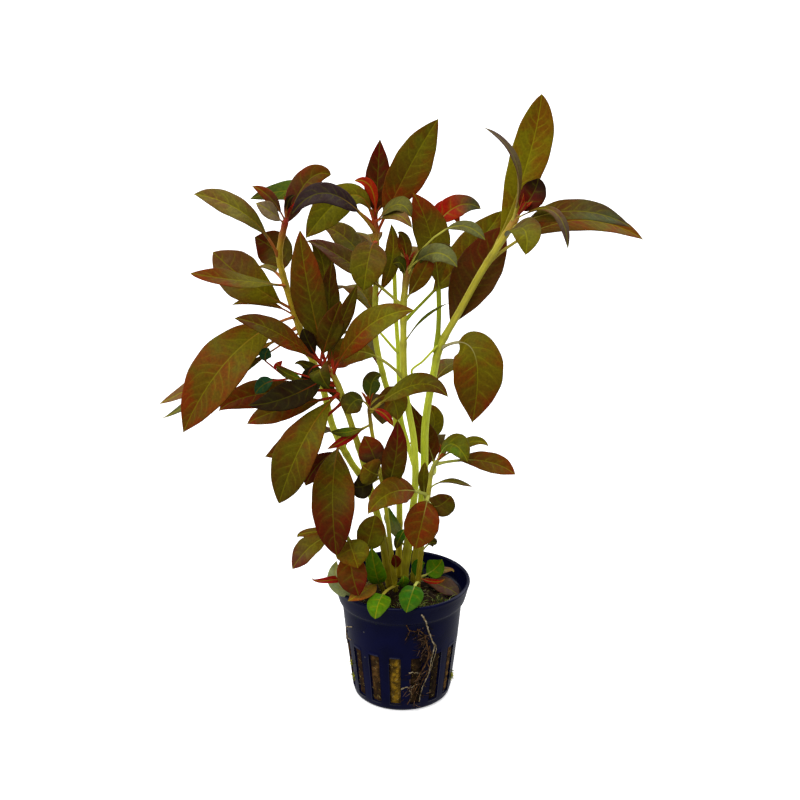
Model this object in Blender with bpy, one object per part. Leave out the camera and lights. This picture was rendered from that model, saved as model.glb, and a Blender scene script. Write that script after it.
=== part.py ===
"""Potted ludwigia glandulosa: a red-bronze aquarium stem plant growing in mineral wool in a 54 mm net pot.

Every length below is in millimetres and every angle in degrees. The origin is the middle of the pot's flat
base, +Z is up, and -Y is the side that is seen first, so -X is its left.
"""

import math

import bmesh
import bpy
import numpy as np

MM = 0.001
GAP = 0.3

# Net pot
RIM_RADIUS = 27.0
RIM_TOP = 49.0
COLLAR_FOOT = 41.5
WALL_TOP_RADIUS = 23.8
BASE_RADIUS = 18.2
WALL_THICKNESS = 1.0
FLOOR_THICKNESS = 1.6
SLOT_COUNT = 16
SLOT_ANGLE = 12.0
SLOT_FIRST = -97.5
SLOT_BOTTOM = 3.5
SLOT_TOP = 25.0

# Growing medium
MEDIUM_EDGE = 39.6
MEDIUM_CROWN = 44.0

# Shoots
SHOOT_SIDES = 6
SHOOT_FOOT_RADIUS = 1.45
SHOOT_TIP_RADIUS = 1.15

# Leaves
STALK_RADIUS = 0.6
BLADE_THICKNESS = 0.8
BLADE_STATIONS = (0.0, 0.2, 0.45, 0.75, 1.0)
SMALL_STATIONS = (0.0, 0.25, 0.6, 1.0)
# How full a blade is towards its base and towards its tip: a smaller number is fuller.
PLAIN_FORM = (0.8, 0.95)

# Outer root
ROOT_RADIUS = 0.45
# Angle round the pot from the front, towards the right, and height.
ROOT_PATH = (
    (17.5, 45.8),
    (20.0, 43.0),
    (22.5, 39.0),
    (25.0, 35.5),
    (28.5, 32.0),
    (32.0, 29.5),
    (31.0, 27.0),
    (29.0, 23.5),
    (28.5, 20.0),
    (27.0, 16.0),
    (23.0, 12.5),
    (21.5, 9.5),
    (20.5, 6.5),
    (19.5, 4.0),
)

# The line that each shoot follows up from the medium, as x, y, z, and its radius against the usual one.
SHOOTS = {
    "left": (
        ((-3, 6, 44.6), (-7, 5, 63), (-13, 3, 86), (-20, 2, 98), (-26.5, 2, 112), (-30.5, 2, 129),
         (-38.5, 3, 151), (-44, 4, 170), (-45.5, 4, 180), (-42.5, 4, 194)),
        0.95,
    ),
    "front": (
        ((-5, 1, 44.6), (-8.5, -4, 72), (-14, -9, 99), (-19.5, -12, 120), (-25, -13, 137), (-31, -13, 144)),
        0.9,
    ),
    "middle": (
        ((-1.5, 10.5, 44.3), (-1, 11, 70), (-1.5, 10, 100), (-3, 9, 116), (-7, 8, 130), (-10, 7, 146),
         (-10, 6, 162), (-9.5, 6, 177), (-10, 6, 193)),
        0.85,
    ),
    "centre": (
        ((1, 4, 44.8), (2, 3, 62), (5, 0, 87), (4.5, 0, 107), (1, 0, 130), (0.5, 0, 158), (1, 0, 167),
         (2, 0, 176)),
        0.95,
    ),
    "right": (
        ((5, 6, 44.4), (6, 6, 60), (8.5, 5, 90), (9, 4, 113), (12, 2, 134), (14.5, 2, 145), (21.5, 3, 158),
         (29, 4, 172), (34.5, 4, 181), (43, 4, 195)),
        1.05,
    ),
    "short": (
        ((-2.5, -3, 44.6), (-6.5, -8, 85), (-9, -10, 101), (-11.5, -11, 116), (-12.5, -11, 126)),
        0.6,
    ),
    "side": (
        ((6, -1, 44.3), (8, -5, 68), (10.3, -8, 90), (11.5, -9, 99), (14, -10, 104)),
        0.65,
    ),
    "low": (
        ((-7, -3.5, 44.2), (-12, -8, 58), (-19, -14, 70), (-23, -16, 77)),
        0.6,
    ),
}

# Large leaves: shoot, height of the joint on it, middle of the midrib, tip, width of the blade, length of the
# stalk, the way that the upper side faces (an angle from the front towards the right, an angle up), and form.
LEAVES = {
    "leaf_left_1": ("left", 179, (-56.4, -6, 196.6), (-74, -12, 205.4), 10.6, 9, (0, 50), (1.3, 0.95)),
    "leaf_left_2": ("left", 172, (-46.7, 12, 177.8), (-55.5, 14, 183.8), 14, 2, (0, 10), (0.9, 0.95)),
    "leaf_left_3": ("left", 159, (-56, -4, 170.7), (-68.4, -9, 183.6), 16, 4, (-10, 35), (1.15, 0.8)),
    "leaf_left_4": ("left", 168, (-59.3, -20, 175.9), (-74.8, -24, 179.5), 8.6, 5, (0, 55), (0.8, 0.8)),
    "leaf_left_5": ("left", 156, (-61.5, -20, 148), (-80.5, -22, 118.8), 19.5, 8, (-20, 30), (0.8, 1.05)),
    "leaf_left_6": ("left", 152, (-68.5, 3, 134.4), (-93.1, 4, 120.8), 8.6, 9, (-10, 40), (0.8, 0.95)),
    "leaf_left_7": ("left", 187, (-35.7, 8, 205.1), (-26.2, 9, 208.3), 9.6, 4, (0, 20), (0.8, 0.7)),
    "leaf_left_8": ("left", 168.5, (-54, 24, 170), (-66, 44, 158), 17, 8, (-150, 50), (0.8, 0.95)),
    "leaf_left_9": ("left", 106, (-26, -20, 94), (-24.5, -27, 71.5), 16.5, 3, (0, 15), (0.8, 0.85)),
    "leaf_middle_1": ("middle", 190.5, (-18.8, 1.5, 202.3), (-35, -5, 187.9), 11.5, 5, (20, 30), (0.8, 0.95)),
    "leaf_middle_2": ("middle", 189, (-9, 11, 207.5), (-8.1, 12, 221), 10, 5, (0, 5), (0.8, 1.1)),
    "leaf_middle_3": ("middle", 187, (2.8, 6, 212), (13, 4, 229.5), 14.5, 6, (10, 15), (0.95, 0.95)),
    "leaf_middle_4": ("middle", 184, (-11.8, -9, 183), (-14, -12, 170), 13.5, 6, (0, 20), (0.8, 0.95)),
    "leaf_middle_5": ("middle", 176, (-13, 26, 182), (-15, 44, 170), 13, 8, (180, 55), (0.8, 0.95)),
    "leaf_middle_6": ("middle", 110, (-4, 26, 116), (-8, 38, 100), 17, 9, (190, 45), (0.8, 0.95)),
    "leaf_centre_1": ("centre", 161, (-20.5, 2, 177.5), (-34.9, -2, 186), 9.5, 10, (0, 55), (0.8, 0.95)),
    "leaf_centre_2": ("centre", 172, (16.2, 8.5, 193.8), (29.1, 8, 195.8), 9, 23, (0, 25), (0.7, 0.95)),
    "leaf_centre_3": ("centre", 155, (26.8, 23, 176.7), (37.7, 25, 191.4), 15, 16, (-10, 30), (0.8, 0.95)),
    "leaf_centre_4": ("centre", 133, (-15, -3, 143.9), (-27.8, -4, 138.3), 12, 13, (0, 50), (0.8, 0.95)),
    "leaf_centre_5": ("centre", 164, (3, 22, 176), (12, 42, 171), 15, 9, (170, 50), (0.8, 0.95)),
    "leaf_right_1": ("right", 179, (45.5, 12, 210), (50.6, 11, 237.4), 15, 6, (0, 15), (1.25, 0.8)),
    "leaf_right_2": ("right", 192, (41, -3, 214), (29.2, -7, 228), 6.5, 5, (60, 35), (0.8, 0.95)),
    "leaf_right_3": ("right", 190, (61.4, -7, 198.1), (81.6, -12, 193.5), 11.6, 6, (0, 55), (0.9, 0.95)),
    "leaf_right_4": ("right", 177, (61.9, 12, 190.2), (90.7, 14, 182.9), 11, 12, (0, 50), (0.8, 0.95)),
    "leaf_right_5": ("right", 187, (43.5, -12, 192.5), (43.8, -19, 185), 13, 4, (0, 40), (0.8, 0.95)),
    "leaf_right_6": ("right", 148, (26, 9, 166.2), (38.1, 12, 188.1), 18.6, 4, (-20, 30), (0.8, 0.85)),
    "leaf_right_7": ("right", 142, (12.6, 3.5, 176.4), (4, 5, 202.4), 13.6, 24, (20, 10), (1.25, 0.95)),
    "leaf_right_8": ("right", 144, (26.5, -10, 145.7), (26, -15, 120), 20.5, 9, (15, 20), (0.8, 1.15)),
    "leaf_right_9": ("right", 140, (31, 27, 170), (33, 40, 164), 17, 16, (170, 88), (0.8, 0.95)),
    "leaf_front_1": ("front", 143, (-45, -25, 158), (-59, -31, 165), 11, 4, (0, 55), (0.8, 0.95)),
    "leaf_front_2": ("front", 132, (-53.1, -9, 129.3), (-68.7, -9, 122.6), 11, 8, (0, 35), (0.8, 0.95)),
    "leaf_front_3": ("front", 130, (-44.7, -22, 127.6), (-56.7, -24, 122.9), 9, 7, (0, 30), (0.8, 0.95)),
    "leaf_front_4": ("front", 138.5, (-42, -27, 134), (-55, -32, 133), 10.5, 5, (0, 40), (0.8, 0.95)),
    "leaf_front_5": ("front", 141.5, (-34.3, -11.5, 172), (-36.8, -9, 191.7), 12.5, 5, (0, 5), (0.9, 0.95)),
    "leaf_front_6": ("front", 138, (-27, -6, 161.4), (-25.7, -3, 178.4), 8.5, 5, (20, 5), (0.8, 0.95)),
    "leaf_front_7": ("front", 138.5, (-12.5, -27, 160.5), (4, -31, 168), 12, 6, (0, 45), (0.8, 0.95)),
    "leaf_front_8": ("front", 131.5, (-35, -28, 119.5), (-45.2, -32, 94.8), 15.5, 4, (-10, 25), (1.3, 0.9)),
    "leaf_front_9": ("front", 127.5, (-39.7, -14, 112.8), (-51.3, -16, 107), 8, 7, (-15, 25), (0.8, 0.95)),
    "leaf_short_1": ("short", 123, (5, -21, 136.9), (16.5, -28, 134.7), 9, 6, (0, 48), (0.8, 0.95)),
    "leaf_short_2": ("short", 88, (-2.5, -17, 107), (-1.8, -16, 121.3), 9.5, 4, (0, 10), (0.9, 0.95)),
    "leaf_side_1": ("side", 97, (12.1, 9, 96.6), (3.3, 11, 118.7), 10, 17, (-20, 10), (0.8, 1.3)),
    "leaf_side_2": ("side", 101.5, (30, -9, 102.5), (43, -10, 97.3), 9, 8, (0, 50), (0.8, 0.95)),
    "leaf_side_3": ("side", 88, (-3.1, -19, 93.9), (-12.7, -26, 88), 11, 7, (0, 35), (0.8, 0.95)),
    "leaf_side_4": ("side", 88, (8.3, -15, 83), (5, -18, 70), 14, 3, (5, 25), (0.8, 0.95)),
    "leaf_low_1": ("low", 75.5, (-33, -18, 72.5), (-41.8, -20, 62.5), 10, 5, (-30, 40), (0.9, 0.95)),
    "leaf_low_2": ("low", 73.5, (-19.7, -21, 73.4), (-16.7, -25, 65.3), 12.5, 4, (0, 35), (0.7, 0.95)),
    "leaf_low_3": ("low", 69, (-19.5, -20, 64), (-16.4, -25, 53.5), 12, 3, (0, 15), (0.8, 0.95)),
    "leaf_base_1": ("short", 47, (-7.7, -19, 50.6), (-10.2, -30, 46.6), 8.6, 15, (0, 60), (0.5, 0.6)),
    "leaf_base_2": ("side", 48, (4.6, -17, 53), (1.6, -28, 48.2), 9.2, 14, (0, 60), (0.6, 0.7)),
}

# Lesser leaves, each fused with the shoot that it grows from: the same entries without a form.
SMALL_LEAVES = {
    "left": (
        (192, (-47.7, 0, 201.2), (-54.4, 0, 205.9), 4.5, 4, (0, 40)),
        (191, (-47.5, -4, 197.2), (-52.7, -5, 200.7), 6.5, 4, (0, 40)),
        (193, (-41.5, 0, 200), (-39, 0, 202.5), 2.6, 4, (0, 30)),
        (104, (-32, -4, 99), (-37, -6, 91), 8, 4, (0, 30)),
        (137, (-48, 22, 144), (-62, 38, 138), 13, 4, (170, 55)),
        (101, (-26, 20, 104), (-36, 34, 96), 11, 4, (-172, 50)),
        (150, (-76, 2, 125), (-91.5, 0, 116.5), 5, 12, (0, 45)),
        (156, (-52.5, 4, 161.3), (-63.6, 2, 160.7), 3.5, 4, (0, 40)),
    ),
    "front": (
        (143, (-26, -18, 157), (-22, -19, 168), 9, 4, (0, 10)),
        (142, (-22, -19, 160), (-16, -22, 175), 6, 4, (20, 20)),
        (143, (-28.6, 2, 171), (-33.7, 3, 184), 9, 14, (0, 10)),
        (143, (-34, -15, 151), (-36, -16, 157), 6, 4, (0, 20)),
        (139, (-29.7, -23, 143.3), (-26.7, -24, 136.8), 8, 4, (-30, 25)),
        (142, (-34.3, -14, 139.6), (-33.4, -14, 131.8), 6, 4, (0, 30)),
        (134.2, (-46.4, -15, 140.3), (-48.7, -15, 149.1), 4.8, 29, (0, 20)),
        (133.4, (-43.7, -17, 137.9), (-54, -17, 132.1), 5.5, 25, (0, 30)),
        (134.7, (-40, -16, 140.2), (-45.9, -15, 143.8), 4, 22, (0, 30)),
        (133.8, (-37.4, -18, 138.2), (-46.1, -17, 142.9), 3.6, 14, (0, 30)),
        (124, (-33, -8, 138), (-40, -9, 141), 5, 4, (0, 40)),
    ),
    "middle": (
        (172, (-21.4, 11, 184.2), (-29.6, 12, 187.7), 9.5, 6, (0, 40)),
        (191, (-1.9, -3, 199.6), (3.2, -6, 195.8), 8, 4, (0, 50)),
        (191, (-2.6, -6, 196.6), (3.5, -9, 192.5), 5, 4, (10, 40)),
        (192, (-11.4, 6, 204), (-17.6, 6, 206.6), 4, 4, (0, 20)),
        (162, (-4, 2, 177), (-4, 4, 191), 6, 4, (0, 10)),
        (152, (-16, 24, 160), (-26, 42, 156), 12, 4, (-160, 60)),
        (101, (11.8, 17, 105.3), (9.8, 18, 115.9), 8, 10, (20, 10)),
        (132, (-18, 24, 142.4), (-26.6, 40, 136.3), 14, 4, (-160, 50)),
        (187.5, (-25.3, -13, 205.6), (-39.2, -14, 198.6), 8.5, 15, (12, 35)),
        (190, (-31.3, 14, 200.6), (-56.6, 13, 198.5), 9, 18, (0, 45)),
    ),
    "centre": (
        (174, (1, 1, 184.6), (-1.7, 0, 188.9), 5, 4, (0, 15)),
        (162, (6.9, -4, 173.8), (10.9, -4, 182.8), 7, 4, (0, 20)),
        (174, (11.5, -10, 183.5), (19.7, -14, 179.3), 7.5, 8, (25, 15)),
        (170, (-0.1, -2, 177), (-3.4, -3, 177.7), 5.5, 4, (40, 30)),
        (172, (9.8, -5, 183), (18.8, -6, 184), 5, 4, (0, 50)),
        (175, (17.1, -2, 190.9), (30.2, -4, 186.9), 5, 21, (0, 40)),
        (164, (13, 11, 193.7), (21.2, 10, 189), 5, 24, (0, 30)),
        (146, (7.4, -4, 156.6), (17.2, -2, 162.6), 1.8, 4, (0, 70)),
        (60, (-3, 2, 70), (-5, -1, 80), 6, 4, (-20, 10)),
        (72, (-0.3, -4, 69.5), (-2.4, -6, 64.4), 4, 4, (0, 30)),
    ),
    "right": (
        (193, (48, 8, 201), (50, 9, 207), 9.5, 4, (0, 30)),
        (193, (54, -9, 198.5), (59.2, -15, 186.2), 4.5, 4, (20, 60)),
        (128, (22, 22, 132), (34, 36, 122), 13, 4, (150, 50)),
        (84, (12, 26, 98), (14, 38, 90), 11, 10, (168, 50)),
        (47, (12.5, -4, 49.2), (16.8, -5, 51), 2.6, 4, (-12, 60)),
        (46, (17.6, 3, 43.3), (22.3, 0, 40.6), 9, 4, (0, 70)),
        (46, (16.9, 9, 48), (20.8, 8, 47.8), 4, 4, (0, 70)),
    ),
    "short": (
        (124, (-11.3, -6, 132.6), (-7.9, -5, 135.1), 7.5, 4, (0, 40)),
        (125, (-5, -4, 127), (-1.6, -4, 117), 10, 5, (30, 0)),
        (125, (-16.7, -15, 129), (-20.8, -17, 124.4), 9, 4, (0, 45)),
        (97, (-10.6, -13, 106), (-14.3, -14, 114.5), 10, 4, (0, 10)),
        (99, (-9.8, -15, 99.5), (-15, -17, 103.6), 11, 4, (-10, 20)),
        (96, (-14.4, -14, 94.2), (-19.3, -15, 94.7), 9, 4, (-20, 20)),
        (124, (-7.1, -19, 125.3), (-3.4, -20, 120.6), 2.8, 4, (0, 20)),
        (118, (-19.7, -17, 117.1), (-26.7, -19, 117.9), 4.5, 4, (0, 55)),
        (118, (-20.8, -18, 114.7), (-27.7, -22, 112.3), 3.2, 4, (0, 20)),
        (47, (0, -8, 50.5), (0.4, -9, 54.2), 5, 4, (25, 30)),
        (52, (-2.4, -6, 58.4), (-3.5, -7, 62.3), 4, 4, (0, 30)),
    ),
    "side": (
        (103, (18.5, -15, 111.5), (24.3, -20, 106.6), 10, 4, (0, 55)),
        (103, (25.8, -8, 109.6), (32.7, -8, 108), 4.5, 4, (0, 50)),
        (90.5, (16.7, -10, 94.5), (26.8, -10, 92.2), 3.5, 4, (0, 75)),
        (86, (13, -12.9, 85.5), (18.5, -16, 91), 11, 4, (10, 0)),
        (50, (12.5, 1, 52), (15.8, 1, 56.6), 8, 4, (0, 40)),
        (82, (8.4, -4, 90.9), (8.8, -4, 100), 4.5, 4, (0, 10)),
        (62, (11, -2, 65), (13.5, -2, 64.5), 4, 4, (0, 40)),
        (46, (6, 2, 51), (9, 1, 55), 6, 4, (0, 50)),
    ),
    "low": (
        (74, (-27, -13, 85), (-30, -12, 92), 6, 4, (-20, 10)),
        (48, (-10.1, -13, 57.5), (-11.8, -13, 68.3), 8, 4, (0, 10)),
        (63, (-12, -13, 74), (-10.3, -15, 82.6), 11.5, 4, (0, 20)),
        (76.5, (-36.4, -13, 74.4), (-39.9, -13, 72.3), 4, 4, (0, 50)),
        (50, (-22.8, -16, 52.1), (-25.1, -17, 64.5), 8, 12, (-30, 15)),
        (55, (-28.5, -22, 58.5), (-34, -26, 61.9), 3.5, 4, (0, 60)),
        (50, (-14.6, -19, 52.5), (-20.5, -26, 52), 7.5, 4, (0, 60)),
    ),
}

# Finer stems, each fused with the shoot that it grows from: radius at its foot and at its tip, and its line.
FINE_STEMS = {
    "centre": (
        (0.95, 0.8, ((4.8, 0.5, 96), (2, 7, 104), (-0.5, 12, 113), (-1.3, 14, 128),
                    (-1.5, 14, 139), (-2.3, 14, 152), (-3, 13, 172))),
        (0.6, 0.5, ((-1.4, 14, 138), (-4.5, 11, 142.5), (-8.2, 8, 148))),
        (0.8, 0.6, ((0.4, 5.2, 44.6), (3, 8, 55), (5, 6, 80))),
    ),
    "right": (
        (0.45, 0.45, ((11, 2.7, 126), (3.6, 0.5, 134.5), (8, 0, 139.5), (13.4, 0.3, 145.5))),
    ),
    "front": (
        (0.6, 0.4, ((-4, 2, 44.5), (-5, 0, 52), (-6, 0, 56))),
    ),
}

MATERIALS = {
    "dark_plastic": ((0.012, 0.013, 0.028), 0.32),
    "mineral_wool": ((0.12, 0.075, 0.03), 0.95),
    "pale_root": ((0.45, 0.40, 0.30), 0.7),
    "green_stem": ((0.33, 0.36, 0.05), 0.5),
    "bronze_leaf": ((0.14, 0.075, 0.012), 0.42),
    "maroon_leaf": ((0.10, 0.018, 0.012), 0.42),
    "green_leaf": ((0.10, 0.20, 0.012), 0.42),
}
MAROON = {
    "leaf_left_2", "leaf_left_7", "leaf_middle_2", "leaf_centre_2", "leaf_right_6", "leaf_front_4",
    "leaf_short_2", "leaf_side_1", "leaf_low_3",
}
GREEN = {"leaf_base_1", "leaf_base_2"}


def material(name):
    """The named material, made once."""
    found = bpy.data.materials.get(name)
    if found:
        return found
    colour, roughness = MATERIALS[name]
    made = bpy.data.materials.new(name)
    made.use_nodes = True
    shader = made.node_tree.nodes["Principled BSDF"]
    shader.inputs["Base Color"].default_value = (*colour, 1.0)
    shader.inputs["Roughness"].default_value = roughness
    shader.inputs["Metallic"].default_value = 0.0
    made.diffuse_color = (*colour, 1.0)
    return made


def solid(name, points, faces, finish):
    """A closed object from points in mm, with its faces turned outwards and shaded smooth."""
    mesh = bpy.data.meshes.new(name)
    mesh.from_pydata([tuple(p) for p in np.asarray(points) * MM], [], faces)
    body = bmesh.new()
    body.from_mesh(mesh)
    bmesh.ops.recalc_face_normals(body, faces=body.faces)
    if body.calc_volume(signed=True) < 0:
        bmesh.ops.reverse_faces(body, faces=body.faces)
    body.to_mesh(mesh)
    body.free()
    mesh.materials.append(material(finish))
    mesh.shade_smooth()
    made = bpy.data.objects.new(name, mesh)
    bpy.context.scene.collection.objects.link(made)
    return made


def smooth_line(points, count):
    """Points at even steps along the smooth curve that passes through the given ones."""
    given = np.asarray(points, float)
    ends = np.vstack([2 * given[0] - given[1], given, 2 * given[-1] - given[-2]])
    t = np.linspace(0, 1, 12, endpoint=False)[:, None]
    line = []
    for a, b, c, d in zip(ends, ends[1:], ends[2:], ends[3:]):
        bend = (2 * a - 5 * b + 4 * c - d) * t**2 + (3 * b - a - 3 * c + d) * t**3
        line.append(0.5 * (2 * b + (c - a) * t + bend))
    line = np.vstack([*line, given[-1:]])
    return at_lengths(line, np.linspace(0, 1, count))


def at_lengths(line, shares):
    """The points at the given shares of a line's length."""
    run = np.concatenate([[0], np.cumsum(np.linalg.norm(np.diff(line, axis=0), axis=1))])
    return np.stack([np.interp(np.asarray(shares) * run[-1], run, line[:, i]) for i in range(3)], 1)


def unit(vector):
    return vector / np.linalg.norm(vector, axis=-1, keepdims=True)


def skin(rings):
    """Points and faces of a closed skin over rings that each have the same number of points."""
    count, around = rings.shape[:2]
    points = rings.reshape(-1, 3)
    faces = []
    for i in range(count - 1):
        for j in range(around):
            a = i * around + j
            b = i * around + (j + 1) % around
            faces.append((a, b, b + around, a + around))
    faces.append(tuple(range(around))[::-1])
    faces.append(tuple(range((count - 1) * around, count * around)))
    return points, faces


def tube(name, line, radii, sides, finish):
    """A round tube along a line, with a radius for each of its points."""
    along = unit(np.gradient(line, axis=0))
    across = unit(np.cross(along, (0.0, 1.0, 0.1)))
    other = np.cross(along, across)
    turn = np.linspace(0, 2 * math.pi, sides, endpoint=False)[None, :, None]
    reach = np.asarray(radii, float)[:, None, None]
    rings = line[:, None] + reach * (np.cos(turn) * across[:, None] + np.sin(turn) * other[:, None])
    return solid(name, *skin(rings), finish)


def facing(angles):
    """The unit vector for an angle from the front towards the right and an angle up."""
    turn, rise = np.radians(angles)
    return np.array([math.sin(turn) * math.cos(rise), -math.cos(turn) * math.cos(rise), math.sin(rise)])


def blade_share(along, form):
    """Half width of a blade as a share of its greatest, from its base at 0 to its pointed tip at 1."""
    base, point = form
    along = np.clip(along, 0, 1)
    widest = base / (base + point)
    return along**base * (1 - along) ** point / (widest**base * (1 - widest) ** point)


def leaf(name, start, middle, tip, width, stalk, face, finish, form=PLAIN_FORM, small=False):
    """A stalk and a folded blade in one skin, along the arched midrib from start over middle to tip."""
    start, middle, tip = (np.asarray(p, float) for p in (start, middle, tip))
    bend = 2 * middle - (start + tip) / 2
    t = np.linspace(0, 1, 40)[:, None]
    line = (1 - t) ** 2 * start + 2 * t * (1 - t) * bend + t**2 * tip
    length = np.linalg.norm(np.diff(line, axis=0), axis=1).sum()
    stations = np.array(SMALL_STATIONS if small else BLADE_STATIONS)
    shares = (stalk + stations * (length - stalk)) / length
    shares = np.concatenate([[0], shares])
    rib = at_lengths(line, shares)
    step = 0.5 / length
    after = at_lengths(line, np.minimum(shares + step, 1))
    along = unit(after - at_lengths(line, np.maximum(shares - step, 0)))
    up = unit(facing(face) - (along @ facing(face))[:, None] * along)
    # The foot of the stalk turns the same way as the foot of the blade, so that the stalk isn't wrung.
    up[0] = unit(up[1] - (up[1] @ along[0]) * along[0])
    side = np.cross(along, up)
    half = np.concatenate([[STALK_RADIUS], np.maximum(width / 2 * blade_share(stations, form), STALK_RADIUS)])
    half[-1] = 0.3
    thick = np.full(len(half), BLADE_THICKNESS)
    thick[:2] = 2 * STALK_RADIUS
    thick[-1] = 0.3
    fold = np.full(len(half), 0.22)
    fold[:2] = 0
    if small:
        section = ((-1, 0), (0, 1), (1, 0), (0, -1))
    else:
        section = ((-1, 0), (0, 1), (1, 0), (0.5, -1), (0, -1), (-0.5, -1))
    rings = []
    for share, level in section:
        lift = fold * abs(share) * half + level * thick / 2 * (1 - 0.25 * abs(share))
        rings.append(rib + (share * half)[:, None] * side + lift[:, None] * up)
    return solid(name, *skin(np.stack(rings, 1)), finish)


def shoot_line(shoot, count=80):
    return smooth_line(SHOOTS[shoot][0], count)


def on_shoot(shoot, height):
    """The middle of a shoot at a height, its direction there and its radius."""
    line = shoot_line(shoot)
    at = np.array([np.interp(height, line[:, 2], line[:, i]) for i in range(3)])
    near = int(np.clip(np.searchsorted(line[:, 2], height), 1, len(line) - 1))
    share = near / (len(line) - 1)
    radius = SHOOTS[shoot][1] * (SHOOT_FOOT_RADIUS * (1 - share) + SHOOT_TIP_RADIUS * share)
    return at, unit(line[near] - line[near - 1]), radius


def joint(shoot, height, towards):
    """Where a leaf starts: just off the skin of its shoot, on the side towards a point."""
    at, along, radius = on_shoot(shoot, height)
    away = np.asarray(towards, float) - at
    away = unit(away - (away @ along) * along)
    return at + away * (radius + GAP + 0.5)


def fuse(target, others):
    """Joins the other objects to the target and removes them."""
    for other in others:
        union = target.modifiers.new("join", "BOOLEAN")
        union.operation = "UNION"
        union.solver = "EXACT"
        union.object = other
    bpy.context.view_layer.update()
    graph = bpy.context.evaluated_depsgraph_get()
    joined = bpy.data.meshes.new_from_object(target.evaluated_get(graph))
    target.modifiers.clear()
    target.data = joined
    joined.shade_smooth()
    for other in others:
        bpy.data.objects.remove(other)


def pot_columns():
    """Angles of the pot's upright lines: one column for each slot and two for each rib between slots."""
    pitch = 360 / SLOT_COUNT
    rib = pitch - SLOT_ANGLE
    offsets = (-SLOT_ANGLE / 2, SLOT_ANGLE / 2, SLOT_ANGLE / 2 + rib / 2)
    return np.radians([SLOT_FIRST + pitch * i + offset for i in range(SLOT_COUNT) for offset in offsets])


def wall_radius(height):
    """Outer radius of the pot at a height."""
    heights = (0.0, 1.0, SLOT_BOTTOM, SLOT_TOP, COLLAR_FOOT - 1.5, COLLAR_FOOT, RIM_TOP - 1.5, RIM_TOP - 0.4)
    radii = (BASE_RADIUS, 19.2, 19.9, 22.4, WALL_TOP_RADIUS, 25.2, RIM_RADIUS - 0.3, RIM_RADIUS)
    return float(np.interp(height, heights, radii))


def turned(profile, columns, slots):
    """Points and faces of a profile of radius and height turned round the axis, closed at both ends.

    Between the two pairs of rows in slots, every third column is left open and the opening gets four sides.
    """
    around = len(columns)
    points = [(r * math.cos(a), r * math.sin(a), z) for r, z in profile for a in columns]
    points += [(0, 0, profile[0][1]), (0, 0, profile[-1][1])]
    last = len(profile) - 1
    faces = []
    for j in range(around):
        k = (j + 1) % around
        open_column = bool(slots) and j % 3 == 0
        for i in range(last):
            if open_column and i in slots:
                continue
            faces.append((i * around + j, i * around + k, (i + 1) * around + k, (i + 1) * around + j))
        faces.append((len(points) - 2, k, j))
        faces.append((len(points) - 1, last * around + j, last * around + k))
        if open_column:
            out_low, in_high = slots
            out_top, in_low = out_low + 1, in_high + 1
            for m in (j, k):
                faces.append([row * around + m for row in (out_low, out_top, in_high, in_low)])
            for out_row, in_row in ((out_top, in_high), (out_low, in_low)):
                corners = ((out_row, j), (out_row, k), (in_row, k), (in_row, j))
                faces.append([row * around + m for row, m in corners])
    return points, faces


def make_pot():
    wall = WALL_THICKNESS
    outer = [
        (wall_radius(z), z)
        for z in (0, 1, SLOT_BOTTOM, SLOT_TOP, COLLAR_FOOT - 1.5, COLLAR_FOOT, RIM_TOP - 1.5)
    ]
    lip = [(RIM_RADIUS, RIM_TOP - 0.4), (RIM_RADIUS - 0.6, RIM_TOP), (RIM_RADIUS - 1.2, RIM_TOP - 0.4)]
    inner = [
        (wall_radius(z) - wall, z)
        for z in (RIM_TOP - 2.5, COLLAR_FOOT + 0.6, COLLAR_FOOT - 1.0, SLOT_TOP, SLOT_BOTTOM, FLOOR_THICKNESS)
    ]
    inner[2] = (WALL_TOP_RADIUS - wall, COLLAR_FOOT - 1.0)
    profile = outer + lip + inner
    slots = (2, len(outer) + len(lip) + 3)
    return solid("net_pot", *turned(profile, pot_columns(), slots), "dark_plastic")


def make_medium():
    """The plug of mineral wool, as far inside the pot as its wall allows, with an uneven crown."""
    inset = WALL_THICKNESS + GAP
    side = [
        (wall_radius(z) - inset, z)
        for z in (FLOOR_THICKNESS + GAP, SLOT_BOTTOM, SLOT_TOP, MEDIUM_EDGE)
    ]
    crown = [(20.0, 41.2), (13.0, 43.2), (6.0, MEDIUM_CROWN)]
    points, faces = turned(side + crown, pot_columns(), ())
    around = 3 * SLOT_COUNT
    points = np.array(points, float)
    top = slice(len(side) * around, (len(side) + len(crown)) * around)
    turn = np.arctan2(points[top, 1], points[top, 0])
    points[top, 2] += 0.5 * np.sin(3 * turn + 0.6) * np.cos(2 * turn) - 0.4
    points[-1, 2] = MEDIUM_CROWN - 0.2
    return solid("growing_medium", points, faces, "mineral_wool")


def make_root():
    """The root that grew out of the pot, 0.3 mm off its wall."""
    line = []
    for turn, height in ROOT_PATH:
        reach = wall_radius(height) + GAP + ROOT_RADIUS + 0.1
        a = math.radians(turn - 90)
        line.append((reach * math.cos(a), reach * math.sin(a), height))
    line = smooth_line(line, 22)
    return tube("outer_root", line, np.linspace(ROOT_RADIUS, 0.3, 22), 5, "pale_root")


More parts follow.
